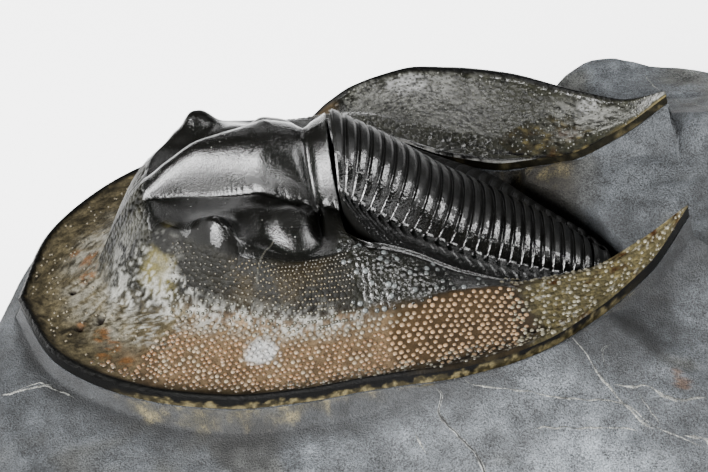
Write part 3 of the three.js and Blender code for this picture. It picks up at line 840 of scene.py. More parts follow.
# Groove along the outer edge of the near prolongation: station, v
GROOVE = curve(
    [
        (8, 0.05),
        (9.62, 0.063),
        (10.17, 0.077),
        (10.57, 0.087),
        (10.84, 0.105),
        (11.3, 0.06),
        (12.2, 0.04),
        (14, 0.03),
    ]
)
GROOVE_DEPTH = 0.12
CRACK_DEPTH = 0.08


def along_line(s, l, knots, half):
    """Share of a thin line through knots."""
    best = np.full(s.shape, 1e9)
    for a, b in zip(knots, knots[1:]):
        dx, dy = b[0] - a[0], b[1] - a[1]
        k = np.clip(((s - a[0]) * dx + (l - a[1]) * dy) / (dx * dx + dy * dy), 0, 1)
        best = np.minimum(best, np.hypot(s - a[0] - k * dx, l - a[1] - k * dy))
    return 1 - smoothstep(best, 0.4 * half, 1.4 * half)


# Upper bound of the granules of the cheek roll: station, v
ROLL_TOP = curve(
    [
        (0, 0.55),
        (1.8, 0.555),
        (2.1, 0.54),
        (2.5, 0.51),
        (3, 0.48),
        (3.3, 0.495),
        (3.7, 0.51),
        (4.25, 0.54),
        (4.9, 0.56),
        (6.5, 0.58),
        (14, 0.6),
    ]
)


def shield_looks(u, v, side, s, l, p):
    """Colour, gloss, grain and small lift of the shield, at place p of the block's frame."""
    broad = layers(p, 3.5, 3, seed=1)
    ragged = layers(p, 1.4, 4, seed=2)
    fine = layers(p, 0.45, 3, seed=3)
    grit = layers(p, 0.19, 2, seed=8)
    brim = 1 - smoothstep(v + 0.04 * ragged, 0.33, 0.4)
    colour = np.broadcast_to(BLACK, p.shape).copy()
    gloss = np.full(u.shape, 0.95)
    grain = np.zeros(u.shape)

    front = brim * (1 - smoothstep(u + 0.8 * ragged, 1.6, 2.6))
    if side > 0:
        front = brim * (1 - smoothstep(u + 0.8 * ragged, 3.6, 4.8))
    dabs = layers(p, 0.8, 4, seed=4)[..., None]
    uneven = 1.1 + (0.6 * broad + grit)[..., None] + 1.3 * dabs
    colour = tinted(colour, OLIVE * np.maximum(0.25, uneven), front)
    outwards = np.stack([np.arctan2(l, 11 - s) * 8, v * 2, v], -1)
    streaks = layers(outwards, 0.5, 3, seed=7) + 0.5 * ragged + 0.5 * grit
    streaked = front * smoothstep(v, 0.1, 0.26) * smoothstep(streaks, -0.2, 0.45)
    colour = tinted(colour, STREAK, 0.8 * streaked)
    gloss = mix(gloss, 0.42 + 0.2 * fine, front)
    grain = np.maximum(grain, 0.22 * front)

    slope = (1 - smoothstep(s + 0.6 * ragged, 9.9, 10.8)) * smoothstep(v + 0.05 * ragged, 0.34, 0.4)
    slope = slope * (1 - smoothstep(v + 0.05 * ragged, 0.82, 0.92))
    pitted = SLOPE * np.maximum(0.2, 1 + 1.2 * fine[..., None] + 1.6 * dabs)
    colour = tinted(colour, pitted, 0.95 * slope)
    gloss = mix(gloss, 0.6, slope)
    grain = np.maximum(grain, 0.8 * slope)

    if side < 0:
        peach = brim * between(u + 0.6 * ragged, 2.0, 7.6, 0.5)
        brown = brim * between(u + 0.5 * ragged, 7.5, 10.6, 0.35)
        roll = smoothstep(v + 0.03 * ragged, 0.36, 0.4) * between(u, 1.5, 6.6, 0.4)
        roll = roll * (1 - smoothstep(v + 0.03 * ragged, ROLL_TOP(u), ROLL_TOP(u) + 0.03))
        colour = tinted(colour, PEACH * (1 + 0.4 * broad[..., None] + 0.6 * dabs), peach)
        colour = tinted(colour, BROWN * (1 + 0.3 * broad[..., None]), brown)
        outer = brim * between(u, 2.5, 10.6, 0.5) * (1 - smoothstep(v + 0.02 * fine, 0.05, 0.1))
        colour = tinted(colour, BRIM_EDGE * np.maximum(0.3, 1 + 2 * dabs), 0.8 * outer)
        colour = tinted(colour, ROLL * (1 + 0.8 * fine[..., None]), 0.8 * roll)
        warm = roll * between(u, 2.9, 6.0, 0.6) * smoothstep(ragged, -0.2, 0.4)
        colour = tinted(colour, WARM_ROLL, 0.75 * warm)
        sparse = between(u + 0.3 * ragged, 6.3, 9.2, 0.5) * between(v, 0.36, 0.8, 0.05)
        colour = tinted(colour, CHEEK_BACK * (1 + 0.8 * fine[..., None]), 0.7 * sparse)
        gloss = mix(gloss, 0.5, np.maximum(peach, brown))
        gloss = mix(gloss, 0.5, roll)
        grain = np.maximum(grain, np.maximum(0.25 * roll, 0.35 * sparse))
        yellow = between(u + 0.15 * ragged, 1.3, 1.85, 0.15) * between(v, 0.39, 0.6, 0.03)
        colour = tinted(colour, MOSS, yellow * smoothstep(ragged + broad, -0.3, 0.3))
        gloss = mix(gloss, 0.5, yellow)
    else:
        side_brim = brim * between(u + 0.4 * ragged, 3.4, 6.2, 0.4)
        colour = tinted(colour, mix(OLIVE, PEACH, 0.5) * np.maximum(0.3, 1 + 0.9 * dabs), side_brim)
        roll = smoothstep(v + 0.03 * ragged, 0.36, 0.4) * between(u, 1.0, 6.8, 0.4)
        roll = roll * (1 - smoothstep(v + 0.03 * ragged, ROLL_TOP(u), ROLL_TOP(u) + 0.03))
        gloss = mix(gloss, 0.5, np.maximum(side_brim, roll))
        grain = np.maximum(grain, 0.25 * roll)
        torn_v = v + 0.05 * ragged
        wing = smoothstep(u + 0.3 * ragged, 6.2, 7.2) * (1 - smoothstep(torn_v, 0.8, 0.95))
        uneven = 1 + (1.2 * grit + 0.4 * fine + 0.4 * broad)[..., None]
        colour = tinted(colour, WING * np.maximum(0.2, uneven), wing)
        # Painted highlight: pale speckle near the far rim and on the tip of the far wing, where the
        # shell catches the light
        painted_rim_highlight = wing * between(torn_v, 0.03, 0.4, 0.04) * between(u + ragged, 6.4, 10.6, 0.6)
        painted_tip_highlight = wing * between(torn_v, 0.1, 0.45, 0.08) * smoothstep(u, 11.3, 12.2)
        painted_rim_highlight = np.maximum(painted_rim_highlight, painted_tip_highlight) * smoothstep(grit + 0.7 * ragged, -0.35, 0.5)
        colour = tinted(colour, HIGHLIGHT_SPECKLE, 0.62 * painted_rim_highlight)
        # Painted highlight: bright spots on the far wing
        painted_glare = np.clip(blots(s, l, WING_HIGHLIGHT_SPOTS, ragged), 0, 1) * wing * smoothstep(v, 0.03, 0.05)
        painted_glare = painted_glare * smoothstep(grit + 0.6 * fine, -0.45, 0.3)
        colour = tinted(colour, HIGHLIGHT_WHITE, 0.8 * painted_glare)
        gloss = mix(gloss, 0.84 + 0.05 * fine, wing)
        grain = np.maximum(grain, 0.22 * wing)
        stain = sum(blot(s, l, (x, y), size, 0.9 * ragged) for x, y, size in WING_LUMPS)
        stain = np.clip(stain, 0, 1)
        lumpy = mix(LUMP, CRUST, smoothstep(fine + 0.3 * ragged, 0.1, 0.4)[..., None])
        lumpy = tinted(lumpy, LUMP_RUST, smoothstep(ragged - 0.5 * fine, 0.1, 0.4))
        colour = tinted(colour, lumpy, 0.65 * stain * smoothstep(fine + ragged, -0.5, 0.3))
        edge = smoothstep(u + 0.2 * ragged, 12.7, 13.2) * smoothstep(v + 0.1 * ragged, 0.45, 0.75)
        colour = tinted(colour, CRUST, 0.9 * edge)
        gloss = mix(gloss, 0.5, np.maximum(stain, edge))

    # White crystals along the crease and on the front
    line = np.exp(-(((v - 0.355 + 0.03 * ragged) / 0.035) ** 2)) * between(u, 0.7, 6.6, 0.6)
    frost = np.clip(1.2 * (line + blots(s, l, CRYSTAL_HEAPS, ragged)), 0, 1)
    frost = frost * smoothstep(fine + 0.6 * ragged + 1.2 * grit, -0.1, 0.35)
    frost = frost * (1 if side < 0 else 1 - smoothstep(u, 1.5, 3))
    frost = frost * (1 - 0.75 * smoothstep(v + 0.05 * ragged, 0.42, 0.5))
    colour = tinted(colour, FROST * (1 + 0.3 * fine[..., None]), 0.75 * frost)
    gloss = mix(gloss, 0.6, frost)
    white = blot(s, l, WHITE_CRYSTALS, WHITE_CRYSTALS[2], 0.8 * ragged)
    white = white * smoothstep(fine + 0.5 * ragged, -0.8, -0.4)
    colour = tinted(colour, WHITE, 0.95 * white)

    # Weathered crust of the prolongation
    start = 10.6 if side < 0 else 15
    crust = smoothstep(u + 0.35 * ragged, start, start + 0.4)
    crust = crust * (1 - between(v, 0.75, 1.1, 0.06) * (1 - smoothstep(u, 11.2, 12.2)))
    mixed = mix(CRUST_BASE, CRUST, smoothstep(fine + 0.4 * ragged, -0.1, 0.5)[..., None])
    mixed = tinted(mixed, CRUST_STAIN, smoothstep(ragged - 0.3 * fine, 0.15, 0.5))
    mixed = tinted(mixed, FROST, 0.8 * smoothstep(fine - 0.3 * broad, 0.3, 0.55))
    colour = tinted(colour, mixed, crust)
    gloss = mix(gloss, 0.55, crust)
    grain = np.maximum(grain, 0.45 * crust)

    spotty = brim * smoothstep(fine + 0.5 * dabs[..., 0] + grit, -0.25, 0.25)
    for x, y, size in RUST_STAINS:
        rust = blot(s, l, (x, y), size, 0.7 * ragged) * spotty
        colour = tinted(colour, RUST * (1 + 0.9 * fine[..., None]), 0.85 * rust)
    lift = 0.05 * fine * np.clip(front + crust + frost, 0, 1)
    raised = smoothstep(v, 0.8, 0.86) * (1 - smoothstep(s, 19, 21))
    lift = lift + raised * (0.03 * ragged + 0.04 * layers(p, 0.55, 3, seed=6))
    for x, y, size in HOLES:
        hole = blot(s, l, (x, y), size, 0.3 * fine)
        colour = tinted(colour, HOLE, hole)
        gloss = mix(gloss, 0.2, hole)
        lift = lift - HOLE_DEPTH * hole

    if side < 0:
        # The groove along the outer edge of the near prolongation is coloured darker than the crust
        # round it, and sunk
        groove = np.exp(-(((v + 0.006 * ragged - GROOVE(u)) / 0.009) ** 2))
        groove = groove * between(u, 8.6, 12.3, 0.5)
        colour = tinted(colour, GROOVE_DARK, 0.9 * groove)
        lift = lift - GROOVE_DEPTH * groove
        scratch = along_line(s, l + 0.1 * ragged, CHEEK_SCRATCH, 0.035)
        colour = tinted(colour, SCRATCH, 0.6 * scratch)
    else:
        crack = along_line(s, l + 0.5 * ragged, WING_CRACK, 0.06)
        colour = tinted(colour, CRACK, crack)
        lift = lift - CRACK_DEPTH * crack
        # Painted highlight: a broken pale line along the inner edge of the far wing
        painted_edge_highlight = smoothstep(v + 0.015 * ragged, 0.94, 0.965)
        painted_edge_highlight = painted_edge_highlight * between(u + 0.2 * ragged, 7.2, 11.3, 0.3)
        painted_edge_highlight = painted_edge_highlight * smoothstep(fine + 0.4 * ragged, -0.35, 0.05)
        colour = tinted(colour, EDGE_HIGHLIGHT, 0.9 * painted_edge_highlight)
        gloss = mix(gloss, 0.7, painted_edge_highlight)

    # The socket round the eye is dull, and the eye's top shines
    aside = np.abs(l)
    eye_top = blot(s, aside, EYE_TOP, EYE_TOP[2], 0.8 * fine + 0.3 * grit)
    around = blot(s, aside, EYE_SOCKET, EYE_SOCKET[2], 0.2 * ragged) * (1 - eye_top)
    gloss = mix(gloss, 0.55, around)
    scuffed = raised * smoothstep(layers(p, 1.0, 4, seed=12) + 0.5 * broad, -0.15, 0.35)
    gloss = mix(gloss, 0.82, scuffed)
    gloss = mix(gloss, 0.82, blot(s, aside, SIDE_LOBE, SIDE_LOBE[2], 0.5 * ragged))

    cord = 1 - smoothstep(v + 0.006 * ragged, 0.022, 0.036)
    worn = smoothstep(u + ragged, 7.4, 10.5) if side < 0 else 0
    uneven = np.maximum(0.4, 1 + 2 * fine[..., None])
    colour = tinted(colour, CORD * uneven, cord * (1 - 0.7 * worn))
    gloss = mix(gloss, 0.6, cord)
    return colour, gloss, grain, lift


# Mesh of the shield: side, stations before and behind the neck, points across. The near half,
# which the camera sees close up, is the finer one.
SHIELD_MESH = [(-1, 160, 215, 138), (1, 100, 150, 108)]
WALL_STEPS = 13


def build_shield():
    skin = Skin()
    tops = {}
    for side, front, wing, across in SHIELD_MESH:
        stations = near_first(front, wing)
        v = np.concatenate([np.linspace(0, 0.05, 12)[:-1], np.linspace(0.05, 1, across)])
        u, vv = np.meshgrid(stations, v, indexing="ij")
        s, l, h = shield_top(u, vv, side)
        top = place(s, l, h)
        colour, gloss, grain, lift = shield_looks(u, vv, side, s, l, top)
        skin_edge = np.minimum(1, 12 * np.minimum(vv, 1 - vv))
        top = place(s, l, h + lift * skin_edge)
        tops[side] = (u, vv, s, l, top)
        skin.sheet(top, colour, gloss, grain, turn=side > 0)
        u2, v2 = np.meshgrid(stations, [0, 0.35, 0.6, 1], indexing="ij")
        under = place(*shield_under(u2, v2, side))
        skin.sheet(under, BLACK, 0.4, turn=side < 0)
        steps = np.linspace(0, 1, WALL_STEPS)
        wall = np.stack([mix(under[:, 0], top[:, 0], k) for k in steps], 1)
        patchy = layers(wall, 0.7, 4, seed=9)
        reach = 0.6 + 0.2 * (smoothstep(stations, 7.5, 10)[:, None] if side < 0 else 0)
        low = 1 - smoothstep(steps[None, :] + 0.9 * patchy, reach - 0.35, reach)
        tan = low * between(stations, 2.4, 12.5, 0.6)[:, None]
        flecks = smoothstep(layers(wall, 0.3, 4, seed=10), -0.15, 0.35)
        earth = mix(*WALL_EARTH, flecks[..., None])
        plain = WALL * np.maximum(0.3, 1 + 3 * patchy)[..., None]
        skin.sheet(wall, tinted(plain, earth, 0.9 * tan), 0.4, turn=side > 0)
        back = np.stack([mix(top[:, -1], under[:, -1], k) for k in (0, 0.33, 0.66, 1)], 1)
        back = back[front - 1 :]
        soil = tinted(*BACK_EARTH, smoothstep(layers(back, 0.8, 4, seed=11), -0.05, 0.4))
        soiled = smoothstep(stations[front - 1 :], 9.4, 10.6)[:, None] * np.ones(back.shape[1])
        earthy = tinted(np.broadcast_to(BLACK, back.shape), soil, soiled)
        skin.sheet(back, earthy, 0.85 - 0.35 * soiled, turn=side > 0)
    skin.build("head_shield", shell_finish, "head_shell", ["cephalon"], worn_finish)
    return tops


# Granules of the shell, and the distances between them. Those of the near brim follow the photo.
PITCH_PEACH = 0.44
PITCH_BROWN = 0.51
PITCH_FAR_BRIM = 0.59
PITCH_ROLL = 0.25
PITCH_FAR_ROLL = 0.28
PITCH_CHEEK_BACK = 0.56
PITCH_GRIT = 0.36
PITCH_CRUST = 0.42
PITCH_SPECKS = 0.75
PEACH_END = 7.2
DOME_RINGS = [(1.0, -0.5), (0.96, 0.28), (0.62, 0.78)]
DOME_SIDES = 8
NEAR_SQUARED = 0.03  # a spot whose nearest mesh point is farther, squared, holds no granule


def dome():
    """Points and triangles of a granule of radius 1 standing on z = 0."""
    turn = np.linspace(0, 2 * np.pi, DOME_SIDES, endpoint=False)
    ring_at = np.stack([np.cos(turn), np.sin(turn)], -1)
    points = [np.column_stack([r * ring_at, np.full(DOME_SIDES, z)]) for r, z in DOME_RINGS]
    points = np.concatenate(points + [np.array([[0, 0, 1.0]])])
    faces = []
    for ring in range(len(DOME_RINGS) - 1):
        for k in range(DOME_SIDES):
            a, b = ring * DOME_SIDES + k, ring * DOME_SIDES + (k + 1) % DOME_SIDES
            faces += [(a, b, b + DOME_SIDES), (a, b + DOME_SIDES, a + DOME_SIDES)]
    last = (len(DOME_RINGS) - 1) * DOME_SIDES
    faces += [(last + k, last + (k + 1) % DOME_SIDES, len(points) - 1) for k in range(DOME_SIDES)]
    return points, np.array(faces)


class Granules:
    """Domes sown on the shield."""

    def __init__(self, tops):
        self.skin = Skin()
        self.dome, self.faces = dome()
        self.tops = {}
        for side, (u, v, s, l, top) in tops.items():
            along_, across_ = np.gradient(top, axis=0), np.gradient(top, axis=1)
            normal = np.cross(along_, across_)
            normal /= np.linalg.norm(normal, axis=-1, keepdims=True) + 1e-12
            normal *= np.sign(normal[..., 2:] + 1e-9)
            flat = [a.reshape(-1) for a in (u, v, s, l)]
            self.tops[side] = flat + [top.reshape(-1, 3), normal.reshape(-1, 3)]

    def sow(self, side, spots, keep, radius, height, colour, gloss):
        """spots: (s, l). keep, radius and colour are functions of u, v, place and a chance."""
        u, v, s, l, top, normal = self.tops[side]
        box = (s > spots[:, 0].min() - 1) & (s < spots[:, 0].max() + 1)
        index = np.where(box)[0]
        nearest = []
        for chunk in np.array_split(spots, max(1, len(spots) // 150)):
            gap = (chunk[:, :1] - s[index]) ** 2 + (chunk[:, 1:] - l[index]) ** 2
            best = gap.argmin(1)
            nearest.append(np.where(gap.min(1) < NEAR_SQUARED, index[best], -1))
        nearest = np.concatenate(nearest)
        nearest = np.unique(nearest[nearest >= 0])
        chance = rng.random(len(nearest))
        kept = keep(u[nearest], v[nearest], top[nearest], chance)
        nearest, chance = nearest[kept], chance[kept]
        where, up = top[nearest], normal[nearest]
        r = radius(u[nearest], v[nearest], chance)
        first = np.cross(up, np.broadcast_to([0.0, 1.0, 0.0], up.shape))
        first /= np.linalg.norm(first, axis=1, keepdims=True) + 1e-12
        second = np.cross(up, first)
        d = self.dome
        points = (
            where[:, None]
            + r[:, None, None] * (d[:, :1] * first[:, None] + d[:, 1:2] * second[:, None])
            + (r * height)[:, None, None] * d[:, 2:] * up[:, None]
        )
        tone = colour(u[nearest], v[nearest], where, chance)
        shade = mix(0.45, 1.1, smoothstep(d[:, 2], 0.0, 0.9))
        tint = tone[:, None] * shade[None, :, None]
        n, m = len(nearest), len(d)
        faces = (self.faces[None] + (np.arange(n) * m)[:, None, None]).reshape(-1, 3)
        self.skin.add(points.reshape(-1, 3), faces, tint.reshape(-1, 3), gloss)


def hexagons(s_range, l_range, pitch, jitter):
    """Spots (s, l) in a hexagonal pattern, pitch apart and shaken by a share of it."""
    rows = np.arange(l_range[0], l_range[1], pitch * 0.866)
    spots = []
    for i, row in enumerate(rows):
        s = np.arange(s_range[0], s_range[1], pitch) + (i % 2) * pitch / 2
        spots.append(np.stack([s, np.full_like(s, row)], -1))
    spots = np.concatenate(spots)
    return spots + rng.normal(0, jitter * pitch, spots.shape)


rng = np.random.default_rng(7)


def build_granules(tops):
    sown = Granules(tops)

    def brim_keep(u, v, p, chance):
        ragged = layers(p, 1.2, 3, seed=22)
        inside = (v > 0.05) & (v < 0.36 + 0.02 * ragged)
        return inside & (u > 1.9 + ragged) & (u < 10.7 + 0.3 * ragged) & (chance > 0.03)

    def brim_colour(u, v, p, chance):
        noise = layers(p, 1.2, 3, seed=23)
        peach = mix(PEACH_DOME, PALE_DOME, smoothstep(noise + chance, 0.6, 1.3)[:, None])
        tone = mix(peach, BROWN_DOME, smoothstep(u, 6.9, 7.7)[:, None])
        tone = tone * (0.8 + 0.4 * chance)[:, None]
        greyed = between(v, 0.29, 0.4, 0.03) * between(u, 0, 8.2, 0.5)
        white = between(u, 3.65, 4.3, 0.15) * between(v, 0.2, 0.31, 0.03)
        tone = tinted(tone, WHITE, 0.9 * white)
        tone = tinted(tone, GREY_DOME, 0.7 * greyed)
        dark = (1 - smoothstep(v, 0.06, 0.11)) * 0.6
        return tinted(tone, EDGE_DOME, dark)

    sown.sow(
        -1,
        hexagons((5, 28), (-17, -6), PITCH_PEACH, 0.1),
        lambda u, v, p, c: brim_keep(u, v, p, c) & (u < PEACH_END),
        lambda u, v, c: 0.14 + 0.05 * c,
        0.6,
        brim_colour,
        0.6,
    )
    sown.sow(
        -1,
        hexagons((23, 39), (-17, -6), PITCH_BROWN, 0.07),
        lambda u, v, p, c: brim_keep(u, v, p, c) & (u >= PEACH_END),
        lambda u, v, c: 0.145 + 0.05 * c,
        0.5,
        brim_colour,
        0.6,
    )

    sown.sow(
        -1,
        hexagons((12, 37), (-18, -11), PITCH_GRIT, 0.3),
        lambda u, v, p, c: (v > 0.015) & (v < 0.1) & (u > 4.5) & (u < 10.9) & (c > 0.4),
        lambda u, v, c: 0.06 + 0.09 * c**2,
        0.5,
        lambda u, v, p, c: mix(paint(50, 45, 33), paint(164, 158, 138), c[:, None] ** 5),
        0.7,
    )

    def roll_keep(u, v, p, chance):
        ragged = layers(p, 1.5, 3, seed=24)
        inside = (v > 0.35) & (v < ROLL_TOP(u) + 0.04 * ragged)
        return inside & (u > 1.75) & (u < 6.5 + 0.5 * ragged) & (chance > 0.05)

    def roll_colour(u, v, p, chance):
        tone = np.broadcast_to(paint(88, 84, 73), p.shape)
        warm = between(u, 3, 6, 0.5) * between(v, 0.4, 0.53, 0.04)
        tone = tinted(tone, paint(122, 108, 78), 0.7 * warm)
        low = (1 - smoothstep(v, 0.385, 0.43)) * (0.5 + 0.5 * chance)
        return tinted(tone, paint(120, 118, 104), low)

    sown.sow(
        -1,
        hexagons((8.5, 24), (-12, -4), PITCH_ROLL, 0.05),
        roll_keep,
        lambda u, v, c: 0.07 + 0.025 * c + 0.045 * (1 - smoothstep(v, 0.38, 0.44)),
        0.85,
        roll_colour,
        1.0,
    )

    sown.sow(
        1,
        hexagons((5, 27), (6, 17), PITCH_FAR_BRIM, 0.07),
        lambda u, v, p, c: (v > 0.05) & (v < 0.36) & (u > 2.4) & (u < 6.5) & (c > 0.05),
        lambda u, v, c: 0.16 + 0.05 * c,
        0.5,
        lambda u, v, p, c: tinted(brim_colour(u, v, p, c), paint(110, 106, 88), 0.6 + 0 * u),
        0.6,
    )
    sown.sow(
        1,
        hexagons((8.5, 24), (3, 12), PITCH_FAR_ROLL, 0.08),
        lambda u, v, p, c: (v > 0.35) & (v < ROLL_TOP(u)) & (u > 1.3) & (u < 6.9) & (c > 0.05),
        lambda u, v, c: 0.07 + 0.025 * c,
        0.85,
        roll_colour,
        1.0,
    )

    def sparse_keep(u, v, p, chance):
        inside = (u > 6.2) & (u < 10.2) & (v > 0.36) & (v < 0.86)
        return inside & (chance > 0.12 + 0.6 * smoothstep(v, 0.5, 0.85))

    sown.sow(
        -1,
        hexagons((22, 33), (-12, -6), PITCH_CHEEK_BACK, 0.2),
        sparse_keep,
        lambda u, v, c: 0.1 + 0.12 * c,
        0.5,
        lambda u, v, p, c: mix(paint(54, 54, 46), paint(150, 156, 156), c[:, None] ** 3),
        0.9,
    )

    def crust_keep(u, v, p, chance):
        return (u > 10.5) & (u < 13.95) & (v > 0.01) & (v < 0.97) & (chance > 0.5)

    sown.sow(
        -1,
        hexagons((33, 47.5), (-16, -5), PITCH_CRUST, 0.25),
        crust_keep,
        lambda u, v, c: 0.07 + 0.11 * c,
        0.6,
        lambda u, v, p, c: mix(paint(104, 94, 64), paint(196, 188, 160), c[:, None] ** 3),
        0.7,
    )

    def wing_keep(u, v, p, chance):
        ragged = layers(p, 2.0, 3, seed=25)
        return (u > 6.7) & (u < 13.6) & (v > 0.03) & (v < 0.7 + 0.2 * ragged) & (chance > 0.25)

    sown.sow(
        1,
        hexagons((23, 46), (6, 17.5), PITCH_GRIT, 0.16),
        wing_keep,
        lambda u, v, c: 0.05 + 0.05 * c,
        0.7,
        lambda u, v, p, c: mix(paint(84, 84, 74), paint(170, 170, 158), c[:, None] ** 3),
        0.9,
    )

    def rim_keep(u, v, p, chance):
        inside = (v > 0.04) & (v < 0.3) & (u < 3.0) & (chance > 0.7)
        return inside & (layers(p, 1.5, 3, seed=26) > -0.1)

    for side in (-1, 1):
        sown.sow(
            side,
            hexagons((0.5, 13), (-15, 0) if side < 0 else (0, 15), PITCH_CRUST, 0.25),
            rim_keep,
            lambda u, v, c: 0.05 + 0.06 * c,
            0.6,
            lambda u, v, p, c: mix(paint(86, 76, 54), paint(156, 144, 116), c[:, None] ** 2),
            0.6,
        )
    for side in (-1, 1):
        sown.sow(
            side,
            hexagons((10, 30), (-12, 0) if side < 0 else (0, 12), PITCH_SPECKS, 0.5),
            lambda u, v, p, c: (v > 0.46) & (v < 0.99) & (c > 0.72),
            lambda u, v, c: 0.02 + 0.06 * ((c - 0.72) / 0.28) ** 3,
            0.15,
            lambda u, v, p, c: np.broadcast_to(paint(140, 140, 134), p.shape),
            0.4,
        )
    sown.skin.build("granules", granule_finish, "head_shell")


# Thorax
AXIS_SHARE = 0.5


def thorax_point(r, t, lift):
    """Point of the thorax at position r along it and t across it (-1 near, 1 far)."""
    crest_s, crest_h = crest_line(r)
    furrow_s, furrow_h = furrow_line(r)
    end_s, end_h = end_line(r)
    half, full = axis_width(r), thorax_width(r)
    a = np.abs(t)
    shift = TAIL_SHIFT * smoothstep(crest_s, 32, 41)
    k = np.clip(a / AXIS_SHARE, 0, 1)
    reach = 1 - math.sqrt(1 - 0.97**2)
    fall = (1 - np.sqrt(1 - (0.97 * k) ** 2)) / reach
    s_axis = mix(crest_s, furrow_s, fall)
    h_axis = mix(crest_h, furrow_h, fall) + lift * (1 - 0.5 * k**4)
    q = np.clip((a - AXIS_SHARE) / (1 - AXIS_SHARE), 0, 1)
    s_rib = mix(furrow_s, end_s, q**1.5)
    plain = np.where(t < 0, 1 - 0.75 * smoothstep(q, 0.0, 0.35), 1)
    h_rib = mix(furrow_h, end_h, q) + 0.35 * np.sin(np.pi * q) + lift * plain * (1 - q**4)
    on_axis = a <= AXIS_SHARE
    l = np.sign(t) * np.where(on_axis, k * half, mix(half, full, q)) + shift
    return np.where(on_axis, s_axis, s_rib), l, np.where(on_axis, h_axis, h_rib)


def along(k):
    """Position along the thorax of a share k of its segments: the front ones are longer."""
    return 1.18 * k - 0.18 * k * k


def thorax_body(name, r, lift, colour, nodes):
    """A closed body under rows of the thorax."""
    skin = Skin()
    t = np.linspace(-1, 1, 121)
    rr, tt = np.meshgrid(r, t, indexing="ij")
    s, l, h = thorax_point(rr, tt, lift[:, None])
    top = place(s, l, h)
    polish = mix(0.92, 0.55, smoothstep(tt + 0.15 * layers(top, 2.0, 3, seed=51), -0.42, -0.15))
    skin.sheet(top, colour, polish + 0.25 * layers(top, 0.4, 3, seed=52))
    floor = place(s, l, bed(s))
    skin.sheet(floor[:, ::12], colour, 0.4, turn=True)
    for edge, turn in ((0, True), (-1, False)):
        wall = np.stack([mix(top[:, edge], floor[:, edge], k) for k in (0, 0.2, 1)], 1)
        skin.sheet(wall, colour, 0.5, turn=not turn if edge == 0 else turn)
    for end, turn in ((0, False), (-1, True)):
        wall = np.stack([mix(top[end], floor[end], k) for k in (0, 0.2, 1)], 1)
        skin.sheet(wall, colour, 0.5, turn=turn)
    return skin.build(name, rib_finish, "body_shell", nodes, worn_rib_finish)


ROWS_PER_RIB = 16
TAIL_END = 1.09
TAIL_ROWS = 60
TAIL_RIB = 0.045


def build_thorax():
    rows = np.linspace(0, SEGMENTS, SEGMENTS * ROWS_PER_RIB + 1)[:-1]
    phase = rows % 1
    lift = RIB_RELIEF * smoothstep(phase, 0.0, 0.3) * (1 - smoothstep(phase, 0.72, 1.0))
    black = 0.7 * BLACK
    thorax_body("thorax_ribs", along(rows / SEGMENTS), lift, black, ["thorax"])
    tail = np.linspace(1 + TAIL_GAP, TAIL_END, TAIL_ROWS)
    wave = (tail - tail[0]) / TAIL_RIB % 1
    lift = 0.6 * RIB_RELIEF * np.sin(np.pi * wave) ** 2
    thorax_body("tail_plate", tail, lift, black, ["pygidium"])


# The block
near_top, near_foot, near_height = curve(NEAR_TOP), curve(NEAR_FOOT), curve(NEAR_HEIGHT)
far_offset, far_foot, far_height = curve(FAR_OFFSET), curve(FAR_FOOT), curve(FAR_HEIGHT)
pedestal_drop, row_middle, bed_width = curve(PEDESTAL_DROP), curve(ROW_MIDDLE), curve(BED_WIDTH)


def rock_ray(u, side, outer):
    """Points of the rock from below the rim out to the edge of the top, for each station."""
    s, l, h = shield_under(u, np.zeros_like(u), side)
    start = place(s, l, h - JOINT_GAP)
    if side < 0:
        x, y = near_top(u)
        edge = np.stack([x, y, near_height(u)], -1)
        drop = pedestal_drop(u)
    else:
        dx, dy = far_offset(u)
        base = place(s, l, rim(u)[2] + bend(u, side))
        hump = place(s + dx, 0 * s, far_height(u))[..., 2]
        level = np.where(u <= 12, base[..., 2] - FAR_FALL, hump)
        edge = np.stack([base[..., 0] + dx, base[..., 1] + dy, level], -1)
        drop = mix(pedestal_drop(0), 1.2, smoothstep(u, 0, 1))
    reach = np.hypot(edge[..., 0] - start[..., 0], edge[..., 1] - start[..., 1])
    step = (np.minimum(PEDESTAL_WIDTH, 0.3 * reach) / reach)[..., None]
    foot = mix(start, edge, step)
    foot[..., 2] = start[..., 2] - drop
    rows = [mix(start, foot, k) for k in np.linspace(0, 1, 6)]
    for w in outer:
        p = mix(foot, edge, w)
        free = smoothstep(reach, 1.5, 4) * smoothstep(w, 0, 0.5)
        p[..., 2] += free * relief(p[..., 0], p[..., 1])
        rows.append(p)
    return np.stack(rows, 1)


def fill(s, l):
    """Level of the rock between the prolongations, behind the thorax."""
    back = smoothstep(s, 41, 50)
    return mix(-4.2, -3.6, back) + mix(0.33, 0.2, back) * l


